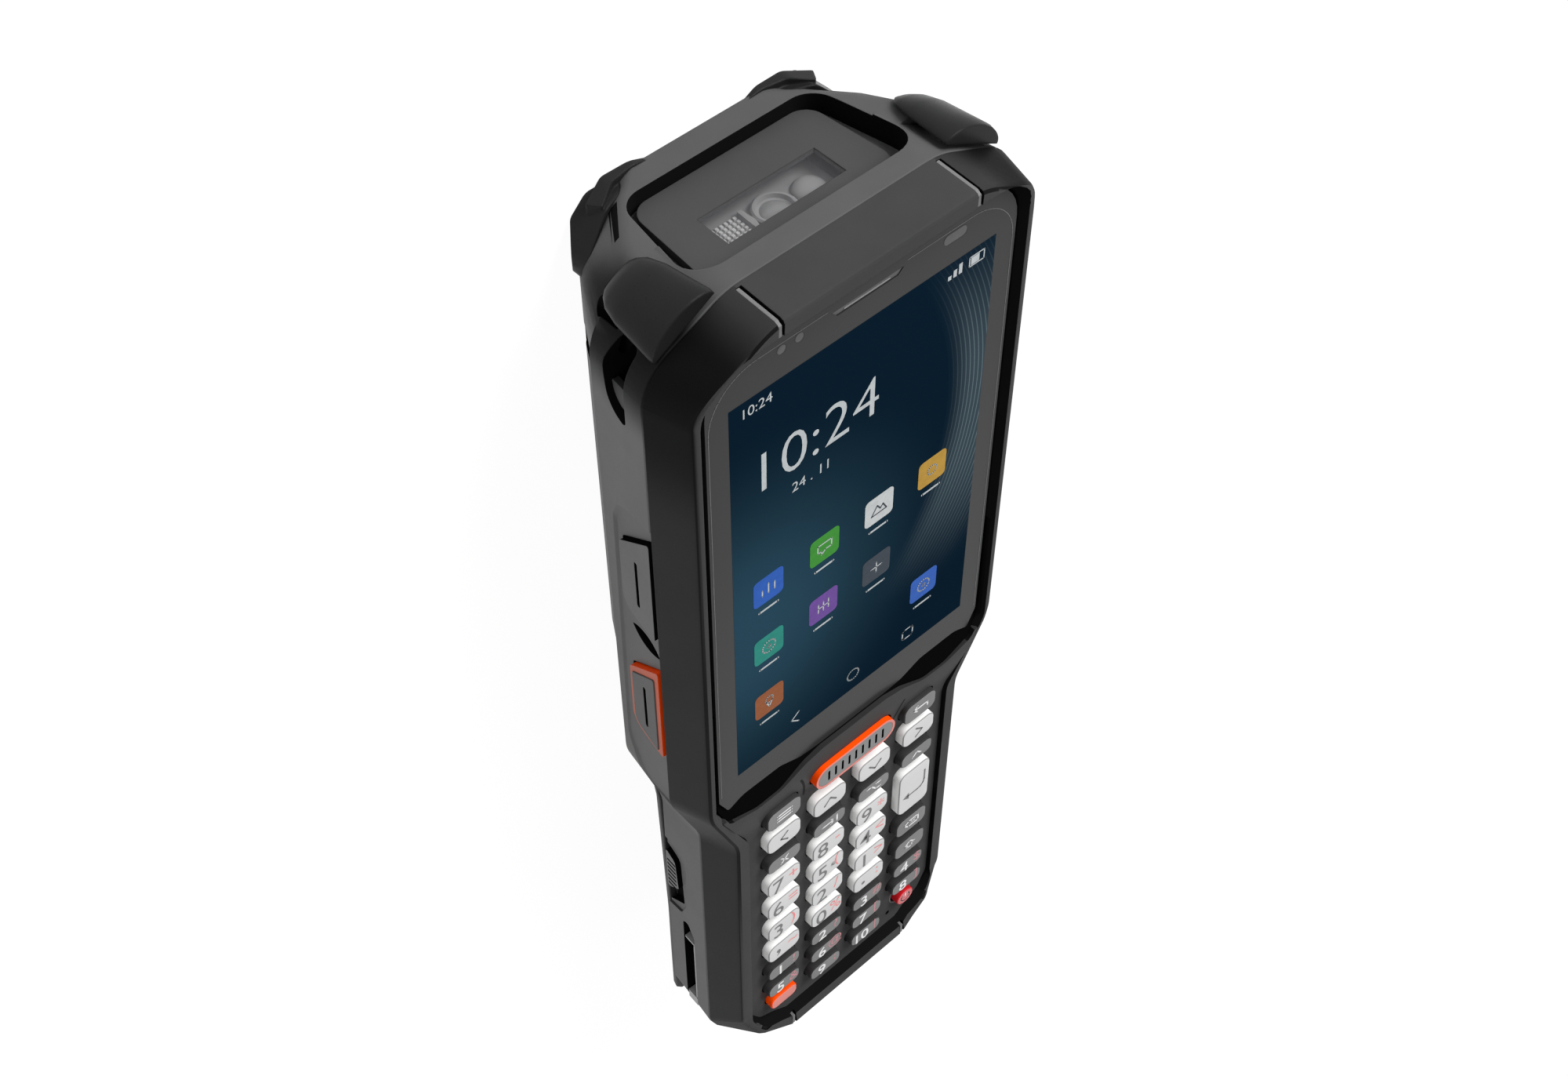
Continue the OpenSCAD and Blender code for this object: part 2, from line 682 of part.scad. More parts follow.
// The rear bumper: a ridge along the rear edge of the scanning end, cut off square where it reaches the
// corner, and a block that wraps the corner lower down
ridge_outline = rounded([
  [8.5, -35.2, 0], [12.4, -35.95, 4], [17, -35.95, 3], [21.6, -33.9, 0.3], [20.2, -31.7, 0.3],
  [16.4, -34.1, 2.5], [12.4, -34.8, 2], [9, -34.7, 0]
]);
ridge_plan = rounded([
  [8, 95, 0], [21.8, 95, 0], [21.8, 98.3, 0.4], [17, 99.5, 6], [11.5, 99.4, 4], [8, 98.6, 0]
]);
block_outline = rounded([
  [15, -35.95, 0], [22.8, -35.95, 1], [25.6, -32.6, 2], [27, -29.6, 0.5], [24.5, -29.6, 0.5], [15, -33, 0]
]);
block_plan = rounded([[12, 89.4, 0], [26.2, 89.4, 1], [25.2, 93, 4], [19.8, 98.3, 2], [12, 98.3, 0]]);

module rear_bumper() {
  intersection() {
    along_y(95, 100) polygon(ridge_outline);
    plate(ridge_plan, -40, -25);
  }
  intersection() {
    along_y(86, 100) polygon(block_outline);
    plate(block_plan, -40, -25);
  }
}

module corner_bumpers() color([0.13, 0.13, 0.13]) seat() both_sides() {
  front_bumper();
  rear_bumper();
}

// ---------- side controls ----------

control_face = trigger_proud - pad_depth;
control_root = -pocket_depth + trigger_travel + 0.3;

module control_body(high, low) along_x(control_root, control_face)
  polygon(control_outline(high, low, 0, 0));

module control_slit(high, low) translate([control_face, low + (high - low) * 0.43, -4.6]) rotate([0, 90, 0])
  translate([0, 0, -0.7]) linear_extrude(2) rounded_rect(0.7, 10.4, 0.34);

module side_button() color([0.32, 0.32, 0.32]) seat() mirror([1, 0, 0]) head_side() difference() {
  control_body(button_high, button_low);
  control_slit(button_high, button_low);
}

// The pad let into a trigger stops short of the upper and the front edge
function insert_outline(shrink) = rounded([
  [trigger_low + 0.8 + shrink, -1.7 - shrink, 0.3],
  [trigger_high - 2.6 - shrink, -1.7 - shrink, 0.3],
  [trigger_high - 7 - shrink, -8.1 + shrink, 0.9],
  [trigger_low + 2.4 + shrink, -8.1 + shrink, 2.4]
]);

module trigger() difference() {
  control_body(trigger_high, trigger_low);
  along_x(control_face - 0.8, control_face + 1) polygon(insert_outline(0));
}

module trigger_pad() difference() {
  along_x(control_face - 0.8, control_face + 0.2) polygon(insert_outline(0.05));
  control_slit(trigger_high, trigger_low);
}

module left_trigger() color([1.0, 0.33, 0.02]) seat() mirror([1, 0, 0]) head_side() trigger();
module right_trigger() color([1.0, 0.33, 0.02]) seat() head_side() trigger();
module left_trigger_pad() color([0.42, 0.42, 0.42]) seat() mirror([1, 0, 0]) head_side() trigger_pad();
module right_trigger_pad() color([0.42, 0.42, 0.42]) seat() head_side() trigger_pad();

// ---------- battery ----------

pack_bottom = foot_y + 3.6;
pack_gap = 0.3;

// Depth of the pack's back along the grip: a finger waist between the head and the heel
function pack_depth(y) = pack_waist_z + (back_z - pack_waist_z) * ease((-62 - y) / 20);

// Roof of the pack, just below the band
function pack_roof(y) = -pack_gap + grip_band_z
  + (head_band_z - 0.3 - grip_band_z) * min(1, max(0, (y - grip_end_y) / (head_start_y - grip_end_y)));

// Half width of the pack at its roof: it stands a little proud of the band near the head
function pack_half(y) = 28.1 + 0.8 * ease((y + 66) / 44);

// Section of the pack at one place along the grip
function pack_section(y, inset) =
  let (
    low = pack_depth(y) + inset,
    half = pack_half(y) - inset,
    top = pack_roof(y)
  )
  [for (p = rounded([
    [-half, top, 0.3], [-half + 0.5, top - 1.6, 1.5], [-18.4 + inset, low + 5.2 - inset * 0.5, 6],
    [-11.5 + inset, low, 4], [11.5 - inset, low, 4], [18.4 - inset, low + 5.2 - inset * 0.5, 6],
    [half - 0.5, top - 1.6, 1.5], [half, top, 0.3]
  ])) [p[0], p[1], -y]];

module battery_pack() color([0.17, 0.17, 0.17]) seat() rotate([90, 0, 0]) loft([
  pack_section(pack_top - pack_gap, 0.6),
  pack_section(pack_top - 1.2, 0),
  pack_section(grip_end_y, 0),
  for (i = [0:5]) pack_section(-62.5 - i * 4, 0),
  pack_section(pack_bottom + 2, 0),
  pack_section(pack_bottom + 0.6, 1),
  pack_section(pack_bottom, 2.6)
]);

latch_plate = rounded([[-38.6, -10.5, 0.4], [-40.2, -7.8, 1.8], [-48.6, -7.2, 0.5], [-51.2, -10.5, 0.5]]);

module battery_latch() grip_side() difference() {
  along_x(-1.6, 0.35) polygon(latch_plate);
  for (i = [0:6]) translate([-0.15, -41.9 - i * 1.3, -10.2]) cube([2, 0.55, 2.4]);
}

module battery_latch_left() color([0.30, 0.30, 0.30]) seat() mirror([1, 0, 0]) battery_latch();
module battery_latch_right() color([0.30, 0.30, 0.30]) seat() battery_latch();

front_housing();
rear_housing();
trim_strips();
display_glass();
display_panel();
display_gasket();
keypad_mat();
main_board();
scan_bezel();
scan_window();
scan_engine();
corner_bumpers();
side_button();
left_trigger();
left_trigger_pad();
right_trigger();
right_trigger_pad();
battery_pack();
battery_latch_left();
battery_latch_right();
screws();
scan_key();
scan_key_insert();
dark_key(0, 0);  // key_menu
white_key(0, 1);  // key_left
dark_key(0, 2);  // key_escape
white_key(0, 3);  // key_7
white_key(0, 4);  // key_6
white_key(0, 5);  // key_3
white_key(0, 6);  // key_comma
dark_key(0, 7);  // key_f1
dark_key(0, 8);  // key_f5
key_blank();
white_key(1, 1);  // key_up
dark_key(1, 2);  // key_tab
white_key(1, 3);  // key_8
key_5();
white_key(1, 5);  // key_2
white_key(1, 6);  // key_0
dark_key(1, 7);  // key_f2
dark_key(1, 8);  // key_f6
dark_key(1, 9);  // key_f9
white_key(2, 1);  // key_down
dark_key(2, 2);  // key_alt
white_key(2, 3);  // key_9
white_key(2, 4);  // key_4
white_key(2, 5);  // key_1
white_key(2, 6);  // key_period
dark_key(2, 7);  // key_f3
dark_key(2, 8);  // key_f7
dark_key(2, 9);  // key_f10
dark_key(3, 0);  // key_back
white_key(3, 1);  // key_right
dark_key(3, 2);  // key_control
key_enter();
dark_key(3, 5);  // key_erase
dark_key(3, 6);  // key_shift
dark_key(3, 7);  // key_f4
dark_key(3, 8);  // key_f8
key_power();
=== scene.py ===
import math

import bmesh
import bpy
from bpy.props import FloatProperty, FloatVectorProperty, IntProperty, PointerProperty
from mathutils import Matrix, Vector


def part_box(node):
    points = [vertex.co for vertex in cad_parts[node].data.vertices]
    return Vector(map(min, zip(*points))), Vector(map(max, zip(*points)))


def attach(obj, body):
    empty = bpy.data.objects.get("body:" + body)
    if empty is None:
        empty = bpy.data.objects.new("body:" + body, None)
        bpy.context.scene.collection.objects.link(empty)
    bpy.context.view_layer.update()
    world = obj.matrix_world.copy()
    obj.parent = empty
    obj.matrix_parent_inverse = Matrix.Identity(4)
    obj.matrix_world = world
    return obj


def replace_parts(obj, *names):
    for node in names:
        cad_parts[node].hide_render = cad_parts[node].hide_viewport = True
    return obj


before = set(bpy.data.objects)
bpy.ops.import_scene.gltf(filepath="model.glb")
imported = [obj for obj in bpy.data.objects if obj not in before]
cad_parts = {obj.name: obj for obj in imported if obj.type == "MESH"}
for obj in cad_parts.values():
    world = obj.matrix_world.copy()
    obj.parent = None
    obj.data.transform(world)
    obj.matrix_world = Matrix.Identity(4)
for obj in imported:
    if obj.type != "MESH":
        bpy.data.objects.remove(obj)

bl_info = {
    "name": "Barcode Data Terminal",
    "version": (1, 0, 0),
    "blender": (4, 5, 0),
    "location": "3D View > Sidebar > Terminal",
    "description": "Dresses a hand-held data terminal: keys, legends, display, scanner, trims and finishes",
    "category": "Object",
}

MM = 0.001

# ---------- places, in millimetres from the middle of the display's lower edge on the glass ----------

PANEL_LOW, PANEL_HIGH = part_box("display_panel")
GLASS_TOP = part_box("display_glass")[1].z
# The panel's middle above the display's lower edge
PANEL_MIDDLE_Y = 43.5
ORIGIN = Vector((0, (PANEL_LOW.y + PANEL_HIGH.y) / 2 - PANEL_MIDDLE_Y * MM, GLASS_TOP))

SEAM_Z = -6.5
# Where the head ends and the grip begins
NECK_Y = -15
HEAD_HALF, HEAD_LEAN = 35.3, math.atan(1.6 / 13.5)
GRIP_HALF, GRIP_LEAN = 29.2, math.atan(0.7 / 10.8)
HEAD_STRIP_X, FOOT_STRIP_X = 18.7, 14.9
CAMERA_WINDOW_Y = 72


def at(x, y, z=0.0):
    """A place on the terminal, in the frame's metres."""
    return ORIGIN + Vector((x, y, z)) * MM


def device(place):
    """A place in the frame's metres as millimetres from the origin."""
    return (place - ORIGIN) / MM


def upright(x=0, y=0, z=0):
    """Matrix that sets a drawing in millimetres down on the front of the terminal."""
    return Matrix.Translation(at(x, y, z)) @ Matrix.Scale(MM, 4)


def side_frame(side, half, lean):
    """Matrix from a side's own millimetres, X out of the face and Z up to the seam, to the frame."""
    return (
        Matrix.Translation(ORIGIN)
        @ Matrix.Scale(MM, 4)
        @ Matrix.Diagonal((side, 1, 1, 1))
        @ Matrix.Translation((half, 0, SEAM_Z))
        @ Matrix.Rotation(lean, 4, "Y")
    )


def side_depth(place):
    """How far a place lies inside the plane of the head's or the grip's side."""
    half, lean = (HEAD_HALF, HEAD_LEAN) if place.y > NECK_Y else (GRIP_HALF, GRIP_LEAN)
    return (half - abs(place.x)) * math.cos(lean) + (place.z - SEAM_Z) * math.sin(lean)


# ---------- outlines and meshes ----------


def rounded_rectangle(width, height, radius, steps=8):
    """Corner points of a rounded rectangle about the origin, counter-clockwise."""
    points = []
    for quarter, (sx, sy) in enumerate(((1, 1), (-1, 1), (-1, -1), (1, -1))):
        for step in range(steps + 1):
            angle = math.radians(90) * (quarter + step / steps)
            points.append((
                sx * (width / 2 - radius) + radius * math.cos(angle),
                sy * (height / 2 - radius) + radius * math.sin(angle),
            ))
    return points


def circle(radius, steps=32, x=0.0, y=0.0):
    """Points of a circle about a place, counter-clockwise."""
    turn = 2 * math.pi / steps
    return [(x + radius * math.cos(i * turn), y + radius * math.sin(i * turn)) for i in range(steps)]


def arc(radius, start, end, steps=20, x=0.0, y=0.0):
    """Points along an arc, its angles in degrees from X."""
    angles = [math.radians(start + (end - start) * i / steps) for i in range(steps + 1)]
    return [(x + radius * math.cos(a), y + radius * math.sin(a)) for a in angles]


def add_rings(mesh, rings, slots=None):
    """Closed skin through rings of points, each above the last; slots has one finish per band and cap."""
    layers = [[mesh.verts.new(point) for point in ring] for ring in rings]
    slots = slots or [0] * (len(rings) + 1)
    count = len(layers[0])
    for slot, low, high in zip(slots[1:], layers, layers[1:]):
        for i in range(count):
            j = (i + 1) % count
            mesh.faces.new((low[i], low[j], high[j], high[i])).material_index = slot
    mesh.faces.new(list(reversed(layers[0]))).material_index = slots[0]
    mesh.faces.new(layers[-1]).material_index = slots[-1]


def add_prism(mesh, points, low, high, slot=0):
    """Adds an outline raised from low to high."""
    add_rings(mesh, [[(x, y, z) for x, y in points] for z in (low, high)], [slot] * 3)


def add_turned(mesh, profile, steps, x, y, place, slot=0):
    """Adds a form turned about x, y: profile is (radius, height); place makes a point of x, y, height."""
    rings = [[place(px, py, height) for px, py in circle(radius, steps, x, y)] for radius, height in profile]
    add_rings(mesh, rings, [slot] * (len(rings) + 1))


def add_flat(mesh, points, z=0.0, slot=0):
    """Adds one flat face."""
    mesh.faces.new([mesh.verts.new((x, y, z)) for x, y in points]).material_index = slot


def add_stroke(mesh, points, width, z=0.0, slot=0, closed=False):
    """Adds a printed line of even width with round joints."""
    for (ax, ay), (bx, by) in zip(points, points[1:] + points[:1] if closed else points[1:]):
        length = math.hypot(bx - ax, by - ay)
        nx, ny = (by - ay) / length * width / 2, (ax - bx) / length * width / 2
        corners = [(ax + nx, ay + ny), (bx + nx, by + ny), (bx - nx, by - ny), (ax - nx, ay - ny)]
        add_flat(mesh, corners, z, slot)
    for x, y in points:
        add_flat(mesh, circle(width / 2, 10, x, y), z, slot)


def smooth_by_angle(mesh, degrees):
    """Marks the sharp edges of a finished mesh and shades the rest smooth."""
    limit = math.radians(degrees)
    for face in mesh.faces:
        face.smooth = True
    for edge in mesh.edges:
        edge.smooth = len(edge.link_faces) == 2 and edge.calc_face_angle(0) < limit


def new_object(name, data):
    """A new object in the scene."""
    thing = bpy.data.objects.new(name, data)
    bpy.context.scene.collection.objects.link(thing)
    return thing


def mesh_data(name, drawing, materials=()):
    """Mesh of a finished drawing, which is freed."""
    data = bpy.data.meshes.new(name)
    drawing.to_mesh(data)
    drawing.free()
    for material in materials:
        data.materials.append(material)
    return data


def new_piece(name, data, body):
    """A piece of the terminal that rides on one of its bodies."""
    piece = new_object(name, data)
    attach(piece, body)
    return piece


def make_piece(name, mesh, materials, matrix, body, degrees=35, solid=True):
    """Turns a drawing into a piece; a solid one gets its faces turned outwards."""
    mesh.transform(matrix)
    if solid:
        bmesh.ops.recalc_face_normals(mesh, faces=mesh.faces)
    elif matrix.determinant() < 0:
        bmesh.ops.reverse_faces(mesh, faces=mesh.faces)
    smooth_by_angle(mesh, degrees)
    return new_piece(name, mesh_data(name, mesh, materials), body)


def lay_print(name, mesh, materials, lift):
    """Lays a flat drawing on the front of the housing, at a height over the glass."""
    make_piece(name, mesh, materials, upright(z=lift), "housing", solid=False)


def plain_mesh(source, name):
    """A plain copy of an object's evaluated mesh; the source is removed."""
    graph = bpy.context.evaluated_depsgraph_get()
    data = bpy.data.meshes.new_from_object(source.evaluated_get(graph), depsgraph=graph)
    data.name = name
    bpy.data.objects.remove(source)
    return data


# Height of a numeral as a share of the lettering's size
NUMERAL_SHARE = 0.70


def text_mesh(text, height, weight=0.0):
    """Flat mesh of a numeral or sign, centred on the origin, in millimetres; height is a numeral's height."""
    curve = bpy.data.curves.new("numeral", "FONT")
    curve.body = text
    curve.size = height / NUMERAL_SHARE
    curve.offset = weight
    curve.resolution_u = 4
    data = plain_mesh(new_object("numeral", curve), "numeral")
    places = [vertex.co for vertex in data.vertices]
    middle = [(min(p[i] for p in places) + max(p[i] for p in places)) / 2 for i in (0, 1)]
    data.transform(Matrix.Translation((-middle[0], -middle[1], 0)))
    return data


def add_text(mesh, text, height, x, y, z=0.0, slot=0, weight=0.0):
    """Adds a numeral or sign to a drawing."""
    before = set(mesh.faces)
    data = text_mesh(text, height, weight)
    data.transform(Matrix.Translation((x, y, z)))
    mesh.from_mesh(data)
    bpy.data.meshes.remove(data)
    for face in set(mesh.faces) - before:
        face.material_index = slot
        if face.normal.z < 0:
            face.normal_flip()


# ---------- nodes ----------


def add_node(tree, kind, inputs=None, **settings):
    """A new node with its settings; each input takes a value or the output that feeds it."""
    node = tree.nodes.new(kind)
    for key, value in settings.items():
        setattr(node, key, value)
    for key, value in (inputs or {}).items():
        if isinstance(value, bpy.types.NodeSocket):
            tree.links.new(value, node.inputs[key])
        else:
            node.inputs[key].default_value = value
    return node


def object_noise(tree, scale, detail, roughness=0.5):
    """Value of a noise that is fixed to the terminal."""
    place = add_node(tree, "ShaderNodeTexCoord").outputs["Object"]
    inputs = {"Vector": place, "Scale": scale, "Detail": detail, "Roughness": roughness}
    return add_node(tree, "ShaderNodeTexNoise", inputs).outputs["Fac"]


def ranged(tree, source, start, end, low=0.0, high=1.0, course="SMOOTHSTEP"):
    """A value that goes from low at start to high at end of another."""
    inputs = {"Value": source, "From Min": start, "From Max": end, "To Min": low, "To Max": high}
    return add_node(tree, "ShaderNodeMapRange", inputs, interpolation_type=course).outputs["Result"]


def combined(tree, operation, first, second=None):
    """A value worked out from one or two others."""
    inputs = {0: first} if second is None else {0: first, 1: second}
    return add_node(tree, "ShaderNodeMath", inputs, operation=operation).outputs["Value"]


def product(tree, first, *others):
    """Values multiplied with one another."""
    for other in others:
        first = combined(tree, "MULTIPLY", first, other)
    return first


def mixed(tree, factor, first, second):
    """A colour between two others."""
    inputs = {"Factor": factor, "A": first, "B": second}
    return add_node(tree, "ShaderNodeMix", inputs, data_type="RGBA").outputs["Result"]


def ramp(tree, source, stops):
    """Colour ramp over a value; stops are (place, colour)."""
    node = add_node(tree, "ShaderNodeValToRGB", {"Fac": source})
    elements = node.color_ramp.elements
    for index, (place, colour) in ((0, stops[0]), (1, stops[-1])):
        elements[index].position = place
        elements[index].color = (*colour, 1)
    for place, colour in stops[1:-1]:
        elements.new(place).color = (*colour, 1)
    return node.outputs["Color"]


def shaded(colour, factor):
    """A colour made darker or lighter."""
    return tuple(min(1.0, channel * factor) for channel in colour)


def clouded(tree, noise, colour, thin, full):
    """A colour that wanders with a noise, from thin to full times itself."""
    return ramp(tree, noise, ((0.3, shaded(colour, thin)), (0.7, shaded(colour, full))))


def place_and_facing(tree):
    """The X, Y and Z of a point and of the direction it faces."""
    coordinates = add_node(tree, "ShaderNodeTexCoord").outputs
    parts = [add_node(tree, "ShaderNodeSeparateXYZ", {"Vector": coordinates[name]})
             for name in ("Object", "Normal")]
    return [[part.outputs[axis] for axis in "XYZ"] for part in parts]


# ---------- materials ----------

# The colour towards which the shells' painted shade darkens
DARKEST = (0.001, 0.001, 0.001, 1)
CLOUD_SCALE, GRAIN_SCALE, INK_SCALE, SMEAR_SCALE = 90.0, 2600.0, 900.0, 40.0
GRAIN_DEPTH = 0.05
# How far the grain moves a plastic's roughness either way
GRAIN_SHINE = 0.07
# Where the shells are painted with shade round the corners of the scanning end: from and to, across and along
# the terminal
FRONT_SHADE_X, FRONT_SHADE_Y = (18.0, 29.0), (60, 88)
REAR_SHADE_X, REAR_SHADE_Y = (21.5, 29.0), (78, 92)
# Where the front shell's end face begins, and how much of the colour it keeps between its strips
END_FACE_Y, END_SHARE = 97.4, 0.85


def near_corner(tree, x, y, across, along):
    """1 at the corners of the scanning end, where the shells are painted with shade, 0 away from them."""
    beside = ranged(tree, x, across[0] * MM, across[1] * MM)
    return product(tree, beside, ranged(tree, y, at(0, along[0]).y, at(0, along[1]).y))


def front_tone(tree):
    """Full on the crown and on the end between its strips, lower on the darker band; lowest, as painted
    shade, on the rounding between them and round the corners of the scanning end."""
    (x, y, _), (across, _, up) = place_and_facing(tree)
    outward = product(tree, across, combined(tree, "SIGN", x))
    x = combined(tree, "ABSOLUTE", x)
    corner = near_corner(tree, x, y, FRONT_SHADE_X, FRONT_SHADE_Y)
    # The band is darker plastic; the rounding between it and the crown and the corners are painted shade
    band = product(tree, ranged(tree, up, 0.36, 0.52, 0.56, 0.08), ranged(tree, corner, 0, 1, 1, 0.06))
    between_strips = combined(tree, "LESS_THAN", x, HEAD_STRIP_X * MM)
    end = product(tree, between_strips, combined(tree, "GREATER_THAN", y, at(0, END_FACE_Y).y), END_SHARE)
    crown = combined(tree, "MAXIMUM", ranged(tree, up, 0.88, 0.97), ranged(tree, outward, -0.2, -0.4))
    return combined(tree, "MAXIMUM", combined(tree, "MAXIMUM", crown, band), end)


def rear_tone(tree):
    """Painted shade: lower on what faces the scanning end and lowest round its corners."""
    (x, y, _), (_, along, _) = place_and_facing(tree)
    corner = near_corner(tree, combined(tree, "ABSOLUTE", x), y, REAR_SHADE_X, REAR_SHADE_Y)
    return product(tree, ranged(tree, along, 0.3, 0.9, 1, 0.56), ranged(tree, corner, 0, 1, 1, 0.05))


def principled(name, colour, roughness, **inputs):
    """A new material with its shader's own values set."""
    material = bpy.data.materials.new(name)
    material.use_nodes = True
    shader = material.node_tree.nodes["Principled BSDF"]
    shader.inputs["Base Color"].default_value = (*colour, 1)
    shader.inputs["Roughness"].default_value = roughness
    for key, value in inputs.items():
        shader.inputs[key.replace("_", " ")].default_value = value
    return material, material.node_tree, shader


def moulded(name, colour, roughness, grain=0.12, edge=0.25, mottle=0.06, sheen=0.12, tone_and_shade=None, **inputs):
    """Moulded plastic or rubber: fine spark-eroded grain, faint clouding and slightly rounded edges.
    tone makes a factor in the tree that darkens the colour where it is low; on both shells that is painted
    shade, and on the front shell also its darker band."""
    material, tree, shader = principled(name, colour, roughness, Specular_IOR_Level=sheen, **inputs)
    source = clouded(tree, object_noise(tree, CLOUD_SCALE, 3.0), colour, 1 - mottle, 1 + mottle)
    if tone_and_shade is not None:
        # Painted shade, and the front shell's darker band, darken the colour towards DARKEST
        source = mixed(tree, tone_and_shade(tree), DARKEST, source)
    tree.links.new(source, shader.inputs["Base Color"])
    fine = object_noise(tree, GRAIN_SCALE, 2.0, 0.6)
    smooth, rough = max(0.02, roughness - GRAIN_SHINE), min(1.0, roughness + GRAIN_SHINE)
    tree.links.new(ranged(tree, fine, 0, 1, smooth, rough, "LINEAR"), shader.inputs["Roughness"])
    corner = add_node(tree, "ShaderNodeBevel", {"Radius": edge * MM}, samples=4).outputs["Normal"]
    relief = {"Strength": grain, "Distance": GRAIN_DEPTH * MM, "Height": fine, "Normal": corner}
    tree.links.new(add_node(tree, "ShaderNodeBump", relief).outputs["Normal"], shader.inputs["Normal"])
    return material


def printed(name, colour, roughness=0.5):
    """Ink: its density wanders a little."""
    material, tree, shader = principled(name, colour, roughness, Specular_IOR_Level=0.05)
    tint = clouded(tree, object_noise(tree, INK_SCALE, 2.0), colour, 0.92, 1.06)
    tree.links.new(tint, shader.inputs["Base Color"])
    return material


def glassy(name, colour, roughness=0.06, **inputs):
    """Glass over a dark print, with a trace of smear in its gloss."""
    material, tree, shader = principled(name, colour, roughness, **inputs)
    smear = object_noise(tree, SMEAR_SCALE, 4.0)
    gloss = ranged(tree, smear, 0, 1, roughness * 0.7, roughness * 1.6, "LINEAR")
    tree.links.new(gloss, shader.inputs["Roughness"])
    tree.links.new(clouded(tree, smear, colour, 0.95, 1.05), shader.inputs["Base Color"])
    return material


def grey(level):
    """A neutral colour."""
    return level, level, level


# ---------- settings ----------


def colour_setting(name, description, colour):
    """A colour in the sidebar."""
    return FloatVectorProperty(
        name=name, description=description, subtype="COLOR", default=colour, min=0, max=1)


def length_setting(name, description, default, low, high):
    """A length in the sidebar, in metres."""
    return FloatProperty(
        name=name, description=description, default=default, min=low, max=high, unit="LENGTH")


class TERMINAL_PG_finishes(bpy.types.PropertyGroup):
    front_shell: colour_setting("Front shell", "Colour of the front shell", grey(0.042))
    rear_shell: colour_setting("Rear shell", "Colour of the rear shell", grey(0.120))
    bumper: colour_setting("Bumpers", "Colour of the rubber bumpers", grey(0.012))
    accent: colour_setting("Accent", "Colour of the triggers and the scan key", (1.0, 0.070, 0.0))
    # The accent face is the orange with a pinkish highlight painted on it
    accent_face: colour_setting("Accent face", "Worn face of the coloured keys", (0.66, 0.24, 0.21))
    white_key: colour_setting("White keys", "Sides of the character keys", (0.88, 0.88, 0.87))
    # The character keys' face is their white plastic painted darker, as shade
    white_face: colour_setting("White key face", "Printed face of the character keys", grey(0.62))
    dark_key: colour_setting("Dark keys", "Sides of the function keys", grey(0.030))
    dark_face: colour_setting("Dark key face", "Printed face of the function keys", grey(0.19))
    screen_low: colour_setting("Screen, dark", "Darkest blue of the picture", (0.003, 0.011, 0.022))
    screen_high: colour_setting("Screen, light", "Lightest blue of the picture", (0.020, 0.056, 0.088))


class TERMINAL_PG_sizes(bpy.types.PropertyGroup):
    key_edge: length_setting("Key edge", "Chamfer of a key's upper edge", 0.00017, 0.0001, 0.0004)
    numeral: length_setting("Numeral", "Height of a key's numeral", 0.0041, 0.002, 0.006)
    sign: length_setting("Sign", "Height of a key's second sign", 0.0031, 0.001, 0.005)
    screen_width: length_setting("Screen width", "Width of the lit picture", 0.0518, 0.05, 0.053)
    screen_length: length_setting("Screen length", "Length of the lit picture", 0.0864, 0.084, 0.088)
    lamp_rows: IntProperty(
        name="Lamp rows", description="Rows of the scanner's lamp grid", default=6, min=3, max=12)
    lamp_columns: IntProperty(
        name="Lamp columns", description="Columns of the scanner's lamp grid", default=8, min=3, max=12)


def sizes():
    return bpy.context.scene.terminal_sizes


def finishes():
    return bpy.context.scene.terminal_finishes


def colour_of(name):
    return tuple(getattr(finishes(), name))


# ---------- geometry nodes ----------


def geometry_tree(name, sockets):
    """A new Geometry Nodes tree with geometry in and out, and what its input node gives; sockets holds the
    kind and the default of the other inputs."""
    tree = bpy.data.node_groups.new(name, "GeometryNodeTree")
    for label, (kind, default) in {"Geometry": ("Geometry", None), **sockets}.items():
        socket = tree.interface.new_socket(label, in_out="INPUT", socket_type="NodeSocket" + kind)
        if default is not None:
            socket.default_value = default
    tree.interface.new_socket("Geometry", in_out="OUTPUT", socket_type="NodeSocketGeometry")
    return tree, add_node(tree, "NodeGroupInput").outputs


def grid_tree():
    """Geometry Nodes tree that repeats an item in columns and rows from the item's own place."""
    tree, given = geometry_tree("Terminal grid", {
        "Columns": ("Int", 1), "Rows": ("Int", 1), "Column step": ("Vector", (1, 0, 0)),
        "Row step": ("Vector", (0, 0, 1)), "Material": ("Material", None),
    })
    columns, rows = (
        add_node(tree, "GeometryNodeMeshLine", {"Count": given[count], "Offset": given[step]}).outputs["Mesh"]
        for count, step in (("Columns", "Column step"), ("Rows", "Row step"))
    )
    places = columns
    for item in (rows, given["Geometry"]):
        copies = add_node(tree, "GeometryNodeInstanceOnPoints", {"Points": places, "Instance": item})
        real = add_node(tree, "GeometryNodeRealizeInstances", {"Geometry": copies.outputs["Instances"]})
        places = real.outputs["Geometry"]
    finish = add_node(tree, "GeometryNodeSetMaterial", {"Geometry": places, "Material": given["Material"]})
    add_node(tree, "NodeGroupOutput", {"Geometry": finish.outputs["Geometry"]})
    return tree


def repeat(item, values):
    """Drawing of an item repeated by the grid tree; values are those of the tree's named inputs."""
    source = new_object("item", mesh_data("item", item))
    modifier = source.modifiers.new("Grid", "NODES")
    modifier.node_group = grid_tree()
    for socket in modifier.node_group.interface.items_tree:
        if socket.in_out == "INPUT" and socket.name in values:
            modifier[socket.identifier] = values[socket.name]
    result = plain_mesh(source, "grid")
    mesh = bmesh.new()
    mesh.from_mesh(result)
    for face in mesh.faces:
        face.material_index = 0
    bpy.data.meshes.remove(result)
    return mesh


SHARP_ANGLE = math.radians(28)
WELD_DISTANCE = 0.002 * MM
# How strongly large faces decide the shading beside them, on the modifier's scale from 1 to 100
FACE_WEIGHT = 75


